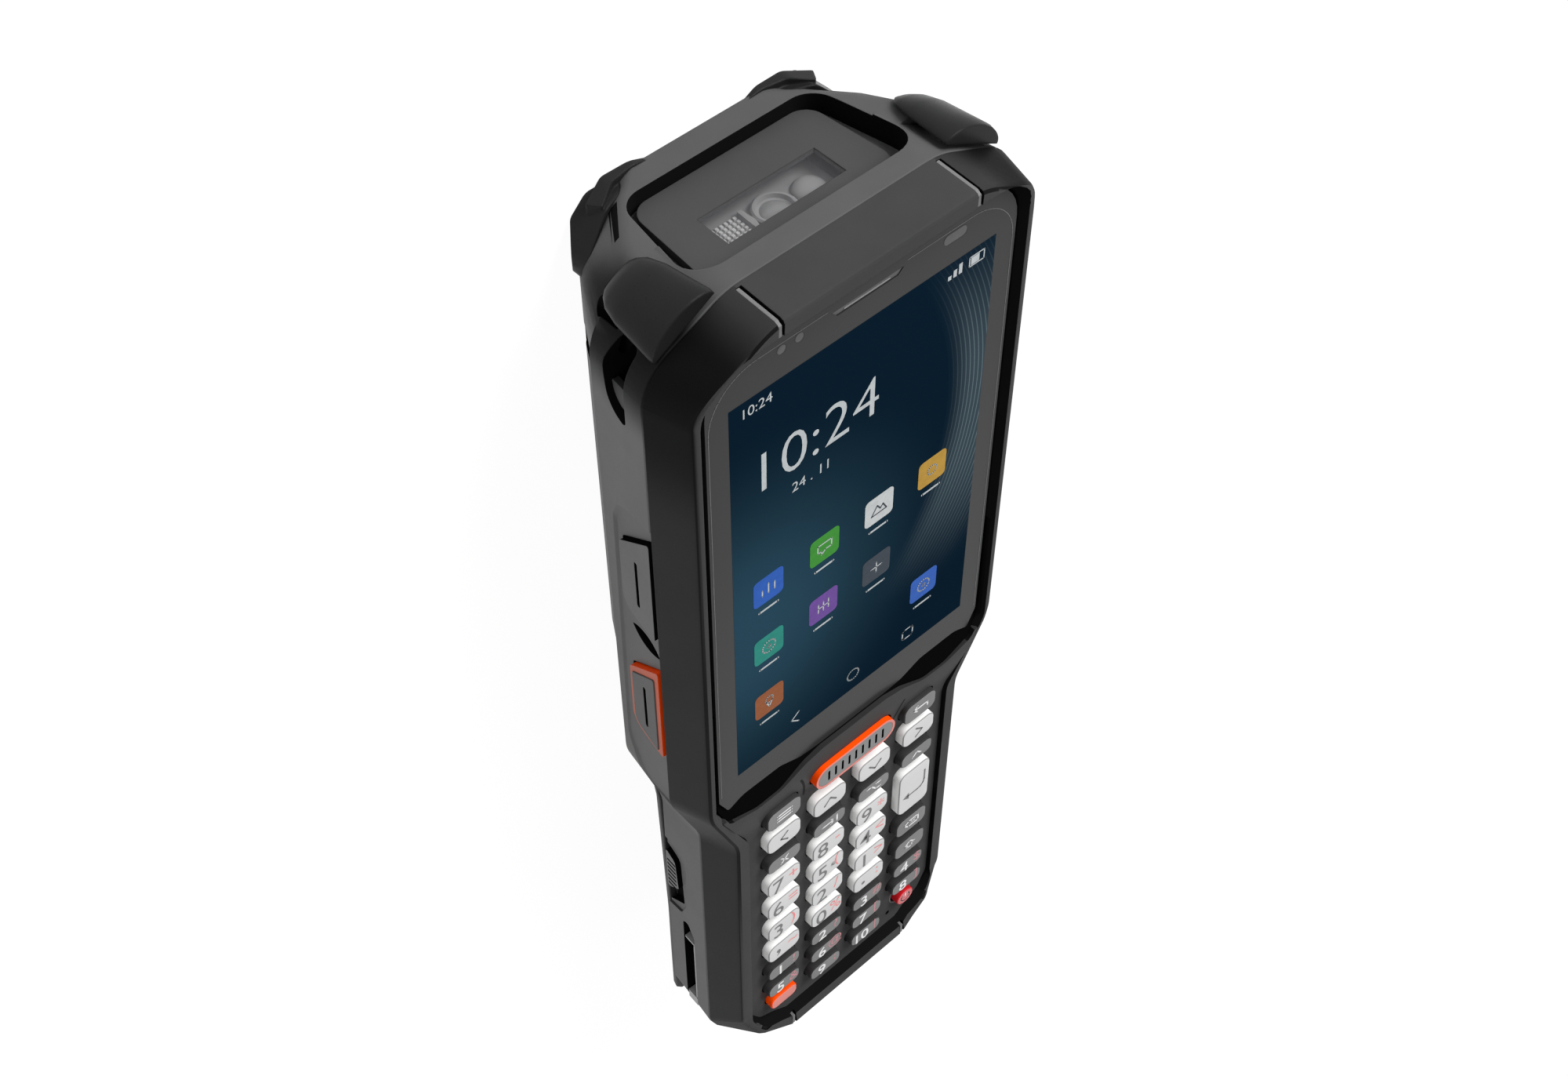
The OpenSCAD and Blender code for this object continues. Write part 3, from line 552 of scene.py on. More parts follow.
def smooth_tree():
    """Geometry Nodes tree that joins a solid's loose triangles and smooths all but its sharp edges."""
    name = "Terminal smooth"
    if name in bpy.data.node_groups:
        return bpy.data.node_groups[name]
    tree, given = geometry_tree(name, {
        "Sharp angle": ("Float", SHARP_ANGLE), "Weld distance": ("Float", WELD_DISTANCE)})
    inputs = {"Geometry": given["Geometry"], "Distance": given["Weld distance"]}
    weld = add_node(tree, "GeometryNodeMergeByDistance", inputs).outputs["Geometry"]
    by_face = add_node(tree, "GeometryNodeSetShadeSmooth", {"Geometry": weld}, domain="FACE")
    faces = by_face.outputs["Geometry"]
    inputs = {"A": add_node(tree, "GeometryNodeInputMeshEdgeAngle").outputs["Unsigned Angle"],
              "B": given["Sharp angle"]}
    blunt = add_node(tree, "FunctionNodeCompare", inputs, operation="LESS_THAN").outputs["Result"]
    inputs = {"Geometry": faces, "Shade Smooth": blunt}
    edges = add_node(tree, "GeometryNodeSetShadeSmooth", inputs, domain="EDGE").outputs["Geometry"]
    add_node(tree, "NodeGroupOutput", {"Geometry": edges})
    return tree


# ---------- finishes of the solids ----------


def finish_node(name, material):
    """Gives a solid its finish, and welds and smooths its shading without touching its mesh."""
    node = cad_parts[name]
    node.data.materials.clear()
    node.data.materials.append(material)
    modifier = node.modifiers.new("Smooth", "NODES")
    modifier.node_group = smooth_tree()


def dressed_copy(name, node, materials, body, choose, degrees=25):
    """A welded copy of a solid in its own place: choose gives each face its finish from the face's middle, in
    millimetres from the origin, and its normal."""
    mesh = bmesh.new()
    mesh.from_mesh(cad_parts[node].data)
    bmesh.ops.remove_doubles(mesh, verts=mesh.verts, dist=WELD_DISTANCE)
    bmesh.ops.recalc_face_normals(mesh, faces=mesh.faces)
    smooth_by_angle(mesh, degrees)
    for face in mesh.faces:
        face.material_index = choose(device(face.calc_center_median()), face.normal)
    source = new_object(name, mesh_data(name, mesh, materials))
    # Large faces stay plain up to the roundings beside them
    weigh = source.modifiers.new("Weigh", "WEIGHTED_NORMAL")
    weigh.keep_sharp = True
    weigh.weight = FACE_WEIGHT
    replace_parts(new_piece(name, plain_mesh(source, name), body), node)


# The shell's own finish, and black painted as shade in its slots, hollows and holes and on its inner walls
FULL, BLACK = range(2)
# A face counts as facing a way, or as leaning that way, when that share of its direction is greater; a slot's
# wall faces its way more squarely, and a hollow's wall faces out of the side by less than its share
FACING, LEANING, SQUARE, WALL_LEAN = 0.9, 0.3, 0.95, 0.16
# Floor of the glass's seat, lowest point of a strip's slot, and the underside of the front shell
SEAT_Z, STRIP_LOW_Z, FRONT_UNDERSIDE_Z = -0.75, -6.3, -6.4
# Where the two ends begin, and where the rim turns round the glass and the keys
HEAD_END_Y, FOOT_END_Y, RIM_TURN_Y = 96, -92, 70
# How far from a strip's middle its slot's walls can lie, and where the floor of the head's slots is
STRIP_REACH = 1.2
STRIP_FLOOR_X, STRIP_FLOOR_Z = (18.3, 19.5), 2.2
# The inner wall of the head's left side lies beyond this, and keeps the shell's colour; the other inner walls
# are painted black as shade
LEFT_WALL_X = -29


def front_finish(place, normal):
    """The shell's own colour outside and on the deck; black as painted shade in the strips' slots, under the
    glass, on the underside and on the rim's inner wall, except on the head's left side."""
    x, y, z = abs(place.x), place.y, place.z
    strip_x = HEAD_STRIP_X if y > HEAD_END_Y else FOOT_STRIP_X
    beside_strip = (y > HEAD_END_Y or y < FOOT_END_Y) and abs(x - strip_x) < STRIP_REACH
    slot_wall = abs(normal.x) > SQUARE and z > STRIP_LOW_Z and beside_strip
    over_floor = y > HEAD_END_Y and STRIP_FLOOR_X[0] < x < STRIP_FLOOR_X[1]
    slot_floor = over_floor and z < STRIP_FLOOR_Z and normal.z > FACING
    seat = z < SEAT_Z and normal.z > FACING
    if slot_wall or slot_floor or seat or z < FRONT_UNDERSIDE_Z:
        return BLACK
    outward = normal.x * place.x / max(x, 0.1)
    inner_end = abs(y) > RIM_TURN_Y and math.copysign(1, y) * normal.y < -LEANING
    inner = outward < -LEANING or inner_end
    return BLACK if inner and (place.x > LEFT_WALL_X or y < NECK_Y) else FULL


# Hollows in the rear shell's sides: from and to along the terminal, and the depths beyond which a wall and a
# floor belong to the hollow. In turn: strap eye, pockets of button and trigger, strap slot, latch pocket
SIDE_HOLLOWS = ((80, 95, 0.3, 5), (-8, 63, 0.75, 1.25), (-110, -58, 0.3, 2), (-58, -35, 0.5, 0.9))
HEAD_HOLLOWS_Z, GRIP_HOLLOWS_Z = -18.4, -17
# Middle of a strap eye, and the direction of the hole that leads the loop out at the corner; then the hole's
# place across the terminal, and half its size there and across its direction
EYE_Y, EYE_Z = 89.8, -13.6
EYE_RUN = (0.656, -0.755)
EYE_HOLE_X, EYE_HOLE_DEEP, EYE_HOLE_WIDE = 30, 1.3, 2.5
# The shell's upper edge, and the scanner's mouth: where it begins, half its width, its lower and upper side
UPPER_EDGE_Z = -6.55
MOUTH_Y, MOUTH_HALF, MOUTH_LOW_Z, MOUTH_HIGH_Z = 60, 21.9, -31.2, -10.8
# Radius and floor of the camera's hole, and radius and place of the screws' holes
CAMERA_HOLE, CAMERA_HOLE_FLOOR_Z = 5.3, -35
SCREW_HOLE, SCREW_HOLE_Z = 2.4, -20.4
SCREW_PLACES = ((26, 78), (27.5, 2))


def rear_finish(place, normal):
    """Full colour outside; black as painted shade in the scanner's mouth, the pockets, eyes and slots and the
    back's holes.
    """
    x, y, z = abs(place.x), place.y, place.z
    depth = side_depth(place)
    lean = HEAD_LEAN if y > NECK_Y else GRIP_LEAN
    wall = abs(abs(normal.x) * math.cos(lean) - normal.z * math.sin(lean)) < WALL_LEAN
    lowest = HEAD_HOLLOWS_Z if y > NECK_Y else GRIP_HOLLOWS_Z
    along = (y - EYE_Y) * EYE_RUN[0] + (z - EYE_Z) * EYE_RUN[1]
    across = (y - EYE_Y) * EYE_RUN[1] - (z - EYE_Z) * EYE_RUN[0]
    along_hole = abs(normal.y * EYE_RUN[0] + normal.z * EYE_RUN[1]) < LEANING
    hollows = (
        z > UPPER_EDGE_Z and normal.z > FACING,
        y > MOUTH_Y and x < MOUTH_HALF and MOUTH_LOW_Z < z < MOUTH_HIGH_Z and normal.y < FACING,
        any(z > lowest and start < y < end and depth > side and (wall or depth > floor)
            for start, end, side, floor in SIDE_HOLLOWS),
        abs(x - EYE_HOLE_X) < EYE_HOLE_DEEP and abs(across) < EYE_HOLE_WIDE and along > 1 and along_hole,
        math.hypot(x, y - CAMERA_WINDOW_Y) < CAMERA_HOLE and z < CAMERA_HOLE_FLOOR_Z and abs(normal.z) < 0.5,
        any(math.hypot(x - sx, y - sy) < SCREW_HOLE for sx, sy in SCREW_PLACES) and z < SCREW_HOLE_Z,
    )
    return BLACK if any(hollows) else FULL


class TERMINAL_OT_shells(bpy.types.Operator):
    """Dress the front and the rear shell"""
    bl_idname = "terminal.shells"
    bl_label = "Dress shells"

    def execute(self, context):
        # The tones paint shade into both shells' colour, and give the front shell its darker band too
        front = moulded(
            "front_shell_plastic", colour_of("front_shell"), 0.5, grain=0.10, sheen=0.04, tone_and_shade=front_tone)
        rear = moulded(
            "rear_shell_plastic", colour_of("rear_shell"), 0.5, grain=0.12, sheen=0.05, tone_and_shade=rear_tone)
        # Black that stands for the shade in the shells' slots, hollows, holes and inner walls
        recess_shade = moulded("hollow_plastic", grey(0.006), 0.7, grain=0.06, sheen=0.0)
        shells = (("front_shell", "front_housing", front, "housing_dark", front_finish),
                  ("rear_shell", "rear_housing", rear, "housing_grey", rear_finish))
        for name, node, plastic, slot, finish in shells:
            dressed_copy(name, node, [plastic, recess_shade], "housing", finish, degrees=30)
        return {"FINISHED"}


class TERMINAL_OT_inner(bpy.types.Operator):
    """Finish the strips in the rim, the seal and the sealed inner pieces"""
    bl_idname = "terminal.inner"
    bl_label = "Finish strips and inner pieces"

    def execute(self, context):
        finish_node("trim_strips", moulded("strip_plastic", grey(0.13), 0.45))
        finish_node("display_gasket", moulded("seal_rubber", grey(0.003), 0.75, sheen=0.0))
        finish_node("keypad_mat", moulded("mat_rubber", grey(0.01), 0.8, sheen=0.05))
        board = moulded("board_laminate", (0.02, 0.12, 0.06), 0.35, grain=0.05, mottle=0.2)
        finish_node("main_board", board)
        return {"FINISHED"}


class TERMINAL_OT_bumpers(bpy.types.Operator):
    """Finish the rubber bumpers at the corners of the scanning end"""
    bl_idname = "terminal.bumpers"
    bl_label = "Finish bumpers"

    def execute(self, context):
        rubber = moulded("bumper_rubber", colour_of("bumper"), 0.30, grain=0.05, edge=0.5, sheen=0.08)
        finish_node("corner_bumpers", rubber)
        return {"FINISHED"}


# The grip slit of the triggers and the button: its places, its depth, and half its length and its width
SLIT_PLACES, SLIT_Z = (16.6, 47.2), -11.1
SLIT_DEPTH, SLIT_LONG, SLIT_WIDE = -0.12, 5.25, 0.5
# Depths in the side within which lie a trigger's face, painted with sheen and shade, and the floor between a
# latch's ribs, painted dark as shade
FACE_LIGHT_DEPTH, RIB_FLOOR = 0.2, (-0.3, 0.25)


def slit_finish(place, normal):
    """Finish of a side control's grip: its slit is painted dark as shade."""
    beside = min(abs(place.y - y) for y in SLIT_PLACES)
    return int(side_depth(place) > SLIT_DEPTH and abs(place.z - SLIT_Z) < SLIT_WIDE and beside < SLIT_LONG)


def button_finish(place, normal):
    """Finish of the side button: its slit and its walls are painted dark as shade."""
    return int(slit_finish(place, normal) or abs(normal.x) < 0.45)


def trigger_finish(place, normal):
    """Finish of a trigger: the outer face of its rim is painted a duller, darker orange, as sheen and shade.
    """
    return int(abs(normal.x) > FACING and side_depth(place) < FACE_LIGHT_DEPTH)


def latch_finish(place, normal):
    """Finish of a latch: painted dark as shade between its ribs and on its walls."""
    return int(RIB_FLOOR[0] < side_depth(place) < RIB_FLOOR[1] or abs(normal.x) < 0.5)


class TERMINAL_OT_controls(bpy.types.Operator):
    """Finish the side button, the scan triggers and the battery latches"""
    bl_idname = "terminal.controls"
    bl_label = "Finish side controls"

    def execute(self, context):
        button = moulded("button_plastic", grey(0.085), 0.42, edge=0.3)
        # Black painted as shade in slits and slots, between ribs and on walls
        dark = moulded("slit_plastic", grey(0.004), 0.7, sheen=0.0)
        accent = moulded("accent_plastic", colour_of("accent"), 0.42, grain=0.05, edge=0.15, mottle=0.03)
        # Top of the scan key and the blank key, which later steps make: the orange with a pinkish highlight
        # painted on
        moulded("accent_face_plastic", colour_of("accent_face"), 0.5, grain=0.05, edge=0.1, mottle=0.05)
        pad = moulded("pad_rubber", grey(0.085), 0.5, edge=0.3)
        # The trigger's face: the orange with painted sheen and shade
        trigger_face_light = moulded("trigger_face_plastic", (0.42, 0.11, 0.07), 0.5, grain=0.05, edge=0.1)
        latch = moulded("latch_plastic", grey(0.13), 0.45, edge=0.1)
        triggers = ("left_trigger", "right_trigger")
        for body in triggers:
            dressed_copy(body + "_body", body, [accent, trigger_face_light], body, trigger_finish)
        dressed_copy(
            "side_button_dressed", "side_button", [button, dark], "side_button", button_finish)
        for body in triggers:
            dressed_copy(body + "_grip", body + "_pad", [pad, dark], body, slit_finish)
        for body in ("latch_left", "latch_right"):
            dressed_copy(body + "_ribbed", "battery_" + body, [latch, dark], body, latch_finish)
        return {"FINISHED"}


class TERMINAL_OT_battery(bpy.types.Operator):
    """Finish the battery pack"""
    bl_idname = "terminal.battery"
    bl_label = "Finish battery"

    def execute(self, context):
        finish_node("battery_pack", moulded("battery_plastic", grey(0.035), 0.5, grain=0.15))
        return {"FINISHED"}


# Liner of a strap slot: from and to along the slot, and between the seam's and the battery's side
LINER_BARS = ((-85.0, -65.4, -4.25, -3.8), (-65.2, -64.7, -6.7, -3.8), (-88.0, -85.5, -6.7, -3.8))
# Section of the bar in a strap eye, and its places across the side
EYE_BAR = ((81.4, -4.75), (85.9, -4.75), (85.9, -9.5), (85.4, -9.7), (82.2, -9.1))
EYE_BAR_DEPTHS = (-2.4, -1.5, -1.4)


class TERMINAL_OT_slots(bpy.types.Operator):
    """Make the pale liners of the strap slots at the foot and the strap bars in the eyes"""
    bl_idname = "terminal.slots"
    bl_label = "Make strap slot liners and eye bars"

    def execute(self, context):
        liner = moulded("liner_plastic", grey(0.36), 0.5, edge=0.1)
        shell = bpy.data.materials["rear_shell_plastic"]
        for side, end in ((-1, "left"), (1, "right")):
            mesh = bmesh.new()
            for start, stop, low, high in LINER_BARS:
                outline = ((-3.9, low), (-0.2, low), (-0.08, low + 0.1),
                           (-0.08, high - 0.1), (-0.2, high), (-3.9, high))
                places = (start, start + 0.1, stop - 0.1, stop)
                add_rings(mesh, [[(x, y, z) for x, z in outline] for y in places])
            grip_side = side_frame(side, GRIP_HALF, GRIP_LEAN)
            make_piece("slot_liner_" + end, mesh, [liner], grip_side, "housing")
            bar = bmesh.new()
            add_rings(bar, [[(x, y, z) for y, z in EYE_BAR] for x in EYE_BAR_DEPTHS])
            head_side = side_frame(side, HEAD_HALF, HEAD_LEAN)
            make_piece("eye_bar_" + end, bar, [shell], head_side, "housing")
        return {"FINISHED"}


# ---------- keys ----------

WHITE_KEYS = (
    "left", "7", "6", "3", "comma", "up", "8", "5", "2", "0", "down", "9", "4", "1", "period", "right",
    "enter",
)
DARK_KEYS = (
    "menu", "escape", "f1", "f5", "tab", "f2", "f6", "f9", "alt", "f3", "f7", "f10", "back", "control",
    "erase", "shift", "f4", "f8",
)

# Numeral or sign in the lower left of a key, and the small red sign in its upper right
KEY_SIGNS = {
    "7": ("7", "+"), "6": ("6", "="), "3": ("3", ")"), "comma": (",", "~"),
    "8": ("8", "-"), "5": ("5", "("), "2": ("2", "/"), "0": ("0", "%"),
    "9": ("9", "*"), "4": ("4", "<"), "1": ("1", ">"), "period": (".", ":"),
}
KEY_SIGNS.update(("f%d" % number, (str(number), sign)) for number, sign in enumerate("!?#$&@[];|", 1))

# Strokes of the keys that carry a drawn sign, in half key heights about the sign's middle
KEY_STROKES = {
    "left": [[(0.4, 0.7), (-0.5, 0), (0.4, -0.7)]],
    "right": [[(-0.4, 0.7), (0.5, 0), (-0.4, -0.7)]],
    "up": [[(-0.8, -0.35), (0, 0.5), (0.8, -0.35)]],
    "down": [[(-0.8, 0.35), (0, -0.5), (0.8, 0.35)]],
    "menu": [[(-1.1, 0.55), (1.1, 0.55)], [(-1.1, 0), (1.1, 0)], [(-1.1, -0.55), (1.1, -0.55)]],
    "back": [[(1.2, -0.5), (1.2, 0.2), (-1.1, 0.2)], [(-0.5, 0.75), (-1.1, 0.2), (-0.5, -0.35)]],
    "escape": [[(-0.55, 0.55), (0.55, -0.55)], [(-0.55, -0.55), (0.55, 0.55)]],
    "tab": [[(-1.2, 0), (0.7, 0)], [(0.2, 0.5), (0.7, 0), (0.2, -0.5)], [(1.2, 0.6), (1.2, -0.6)]],
    "alt": [[(-1.1, 0.5), (-0.4, 0.5), (0.4, -0.5), (1.1, -0.5)], [(0.4, 0.5), (1.1, 0.5)]],
    "control": [[(-0.7, -0.3), (0, 0.4), (0.7, -0.3)]],
    "erase": [[(-1.2, 0), (-0.5, 0.6), (1.2, 0.6), (1.2, -0.6), (-0.5, -0.6), (-1.2, 0)],
              [(0, 0.25), (0.6, -0.25)], [(0, -0.25), (0.6, 0.25)]],
    "shift": [[(-0.9, 0), (0, 0.75), (0.9, 0), (0.4, 0), (0.4, -0.6), (-0.4, -0.6), (-0.4, 0), (-0.9, 0)]],
    "enter": [[(1.5, 1.9), (1.5, 0.2), (1.35, -0.35), (1.0, -0.7), (0.5, -0.8), (-0.9, -0.8)]],
}
POWER_STROKES = (arc(1.15, 125, 415, 24), [(0, 0.2), (0, 1.45)])
ENTER_ARROW = [(-2.9, -1.4), (-1.3, -2.4), (-1.3, -0.4)]
KEY_FLANGE = 0.6
# Corner radius of a key, and the most that it takes of a low key's height
KEY_CORNER, KEY_CORNER_SHARE = 1.7, 0.38
# A cap's finishes: its side, its edge chamfer painted as a dark line of shade, and its face
KEY_SIDE, KEY_EDGE_SHADE, KEY_FACE = range(3)
# The mark on key 5: its place on the key, height and rounded profile
NIB_X, NIB_Y, NIB_HEIGHT = 1.2, 0.3, 0.3
NIB_PROFILE = ((0.45, -0.1), (0.45, 0.1), (0.38, 0.22), (0.2, NIB_HEIGHT))
LEGEND_LIFT = 0.012


def cap_mesh(width, height, radius, low, high, edge):
    """A key's cap: retaining flange, wall, the fine chamfer round its face, painted as a dark line of shade,
    and a faintly crowned face.
    """
    mesh = bmesh.new()
    levels = [
        (-KEY_FLANGE, low, KEY_SIDE), (-KEY_FLANGE, low + 0.8, KEY_SIDE), (0.0, low + 0.82, KEY_SIDE),
        (0.03, high - edge - 0.05, KEY_SIDE), (0.03 + edge, high - 0.05, KEY_EDGE_SHADE),
        (0.6, high - 0.02, KEY_FACE), (1.3, high, KEY_FACE),
    ]
    rings = []
    for inset, z, _ in levels:
        r = max(0.15, radius - inset)
        rings.append([(x, y, z) for x, y in rounded_rectangle(width - 2 * inset, height - 2 * inset, r)])
    add_rings(mesh, rings, [slot for _, _, slot in levels] + [KEY_FACE])
    return mesh


def key_place(name):
    """Centre and size of a key's cap, in millimetres from the origin, from its solid."""
    low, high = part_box(name)
    low, high = (low - ORIGIN) / MM, (high - ORIGIN) / MM
    return (low + high) / 2, high - low - Vector((2 * KEY_FLANGE, 2 * KEY_FLANGE, 0)), low.z, high.z


def nib_height(name):
    """How much of a key's solid is the mark on its face."""
    return NIB_HEIGHT if name == "5" else 0


class TERMINAL_OT_keys(bpy.types.Operator):
    """Make the keys' caps; their edge chamfers carry painted shade, and so do the white keys' faces"""
    bl_idname = "terminal.keys"
    bl_label = "Make keys"

    def execute(self, context):
        white = moulded("white_key_plastic", colour_of("white_key"), 0.45, grain=0.05, edge=0.1, mottle=0.02)
        white_face = moulded(
            "white_key_face", colour_of("white_face"), 0.5, grain=0.04, edge=0.05, mottle=0.03)
        white_edge_shade = moulded("white_key_line", grey(0.26), 0.5, grain=0.03, edge=0.05)
        dark = moulded("dark_key_plastic", colour_of("dark_key"), 0.45, grain=0.06, edge=0.1)
        dark_face = moulded("dark_key_face", colour_of("dark_face"), 0.5, grain=0.04, edge=0.05, mottle=0.08)
        dark_edge_shade = moulded("dark_key_line", grey(0.02), 0.5, grain=0.03, edge=0.05)
        accent, accent_face = bpy.data.materials["accent_plastic"], bpy.data.materials["accent_face_plastic"]
        red = moulded("power_key_plastic", (0.50, 0.008, 0.014), 0.42, grain=0.04, edge=0.1)
        red_face = moulded("power_key_face", (0.60, 0.16, 0.17), 0.5, grain=0.04, edge=0.05)
        kinds = (
            (WHITE_KEYS, (white, white_edge_shade, white_face), "key_white"),
            (DARK_KEYS, (dark, dark_edge_shade, dark_face), "key_dark"),
            (("blank",), (accent, accent, accent_face), "orange"),
            (("power",), (red, red, red_face), "power_red"),
        )
        for names, materials, slot in kinds:
            for name in names:
                self.cap(name, materials, slot)
        return {"FINISHED"}

    def cap(self, name, materials, slot):
        """One key's cap, on the outline and height of its solid."""
        node = "key_" + name
        middle, size, low, high = key_place(node)
        high -= nib_height(name)
        radius = size.y / 2 - 0.02 if name == "power" else min(KEY_CORNER, size.y * KEY_CORNER_SHARE)
        cap = cap_mesh(size.x, size.y, radius, low, high, sizes().key_edge / MM)
        if name == "5":
            # The mark on key 5 takes the cap's painted edge shade
            add_turned(cap, NIB_PROFILE, 20, NIB_X, NIB_Y, lambda x, y, h: (x, y, high + h), KEY_EDGE_SHADE)
        piece = make_piece("cap_" + name, cap, materials, upright(middle.x, middle.y), node, degrees=25)
        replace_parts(piece, node)


class TERMINAL_OT_legends(bpy.types.Operator):
    """Print the numerals and signs on the keys"""
    bl_idname = "terminal.legends"
    bl_label = "Print legends"

    def execute(self, context):
        ink = printed("grey_ink", grey(0.19))
        pale = printed("pale_ink", grey(0.80))
        red = printed("red_ink", (0.80, 0.27, 0.27))
        faint = printed("faint_ink", (0.52, 0.24, 0.26))
        kinds = ((WHITE_KEYS, [ink, red], "key_white"), (DARK_KEYS, [pale, faint], "key_dark"),
                 (("power",), [pale, red], "power_red"))
        for names, inks, slot in kinds:
            for name in names:
                node = "key_" + name
                middle, _, _, high = key_place(node)
                face = high + LEGEND_LIFT - nib_height(name)
                place = upright(middle.x, middle.y, face)
                make_piece("legend_" + name, self.drawing(name), inks, place, node, solid=False)
        return {"FINISHED"}

    def drawing(self, name):
        """What is printed on a key, about its middle."""
        numeral, sign = sizes().numeral / MM, sizes().sign / MM
        mesh = bmesh.new()
        small = name in DARK_KEYS
        if name in KEY_SIGNS:
            main, second = KEY_SIGNS[name]
            if small:
                add_text(mesh, main, numeral * 0.74, -1.0, -0.25, weight=0.05)
                add_text(mesh, second, sign * 0.85, 2.4, 0.45, slot=1)
            else:
                share = 1.3 if name in ("comma", "period") else 1.0
                add_text(mesh, main, numeral * share, -1.5, -0.3, weight=0.02)
                add_text(mesh, second, sign, 2.1, 0.6, slot=1)
        scale, width = (1.5, 0.36) if small else (1.75, 0.42)
        for points in KEY_STROKES.get(name, []):
            add_stroke(mesh, [(x * scale, y * scale) for x, y in points], width)
        if name == "enter":
            add_flat(mesh, ENTER_ARROW)
        if name == "power":
            for points in POWER_STROKES:
                add_stroke(mesh, points, 0.32)
        return mesh


# Height of the surface that the keys stand in along the terminal: it rises to the brow under the glass
DECK_PROFILE = (
    (-90.0, -0.45), (-86.0, -0.65), (-24.0, -0.65), (-20.5, -0.3), (-17.0, 0.35), (-13.5, 0.9), (-9.0, 1.0))
KEY_DECK_Z = -0.65


def deck_height(y):
    """Height of the keypad deck at a place along the terminal."""
    for (low_y, low), (high_y, high) in zip(DECK_PROFILE, DECK_PROFILE[1:]):
        if y <= high_y:
            return low + (high - low) * (y - low_y) / (high_y - low_y)
    return DECK_PROFILE[-1][1]


# The scan key's insert: its middle, half its slots' reach along and across the terminal, their upper edge
INSERT_Y, INSERT_LONG, INSERT_WIDE, INSERT_TOP_Z = -17.8, 1.42, 7.0, 1.55
SCAN_KEY_TOP_Z = 1.5


def insert_finish(place, normal):
    """Finish of the scan key's insert: its slots are painted black inside as shade."""
    within = abs(place.y - INSERT_Y) < INSERT_LONG and abs(place.x) < INSERT_WIDE
    return int(within and place.z < INSERT_TOP_Z)


def scan_key_finish(place, normal):
    """Finish of the scan key: its rim's top is painted with a pinkish highlight."""
    return int(normal.z > FACING and place.z > SCAN_KEY_TOP_Z)


# Path of one of the two strokes of painted groove shade that run from the scan key towards the keys
GROOVE = ((-12.4, -14.2), (-11.9, -15.4), (-11.4, -16.9), (-11.05, -18.2), (-10.75, -20.0), (-10.65, -21.6))
GROOVE_LIFT = 0.02
# The ring round the power key: its inner and outer edge beside the key, its height and its chamfer
RING_INSIDE, RING_OUTSIDE, RING_HEIGHT, RING_EDGE, RING_STEPS = 0.38, 0.85, 0.14, 0.08, 40


class TERMINAL_OT_scan_key(bpy.types.Operator):
    """Dress the scan key, its slotted insert and the marks round it"""
    bl_idname = "terminal.scan_key"
    bl_label = "Dress scan key"

    def execute(self, context):
        accent, accent_face, slit_shade = (
            bpy.data.materials[name] for name in ("accent_plastic", "accent_face_plastic", "slit_plastic"))
        insert = moulded("insert_plastic", grey(0.22), 0.5, grain=0.05, edge=0.05)
        body = "scan_key"
        dressed_copy("scan_key_body", body, [accent, accent_face], body, scan_key_finish)
        dressed_copy("scan_key_grip", "scan_key_insert", [insert, slit_shade], body, insert_finish)
        self.grooves()
        self.power_ring()
        return {"FINISHED"}

    def grooves(self):
        """Flat strokes of painted shade where grooves run in the deck beside the scan key, laid on its rise.
        """
        groove = printed("groove_shade", grey(0.012), 0.7)
        marks = bmesh.new()
        for side in (-1, 1):
            add_stroke(marks, [(-side * x, y) for x, y in GROOVE], 0.5)
        for vertex in marks.verts:
            vertex.co.z = deck_height(vertex.co.y) + GROOVE_LIFT
        for face in marks.faces:
            face.normal_update()
            if face.normal.z < 0:
                face.normal_flip()
        lay_print("deck_grooves", marks, [groove], 0)

    def power_ring(self):
        """The low ring on the deck round the power key."""
        ring = moulded("power_ring_plastic", grey(0.10), 0.45, edge=0.05)
        middle, size, _, _ = key_place("key_power")
        inner, outer, top = size.x / 2 + RING_INSIDE, size.x / 2 + RING_OUTSIDE, KEY_DECK_Z + RING_HEIGHT
        profile = (
            (inner, KEY_DECK_Z), (outer, KEY_DECK_Z), (outer - RING_EDGE, top), (inner + RING_EDGE, top))
        mesh = bmesh.new()
        layers = [[mesh.verts.new((x, y, z)) for x, y in circle(r, RING_STEPS)] for r, z in profile]
        for low_ring, high_ring in zip(layers, layers[1:] + layers[:1]):
            for i in range(RING_STEPS):
                j = (i + 1) % RING_STEPS
                mesh.faces.new((low_ring[i], low_ring[j], high_ring[j], high_ring[i]))
        make_piece("power_ring", mesh, [ring], upright(middle.x, middle.y), "housing")


# ---------- display ----------

# The picture's glow: its middle, and the radii in metres between which it fades
GLOW_PLACE, GLOW_REACH = (-24, 34), (0.046, 0.004)
# The fan of arcs: its centre, the distance between two arcs, the radii in metres between which its inner and
# its outer edge fade, and the middle and reach of its bright part
FAN_PLACE, ARC_STEP, FAN_COLOUR = (-34, 58), 0.9, (0.20, 0.27, 0.30, 1)
FAN_INNER, FAN_OUTER = (0.052, 0.058), (0.074, 0.066)
BRIGHT_PLACE, BRIGHT_REACH = (24, 52), (0.040, 0.008)


def distance_from(tree, x, y):
    """How far a point lies from a place on the glass, in metres."""
    place = add_node(tree, "ShaderNodeTexCoord").outputs["Object"]
    centred = add_node(tree, "ShaderNodeMapping", {"Vector": place, "Location": tuple(-at(x, y, 0))})
    inputs = {0: centred.outputs["Vector"]}
    return add_node(tree, "ShaderNodeVectorMath", inputs, operation="LENGTH").outputs["Value"]


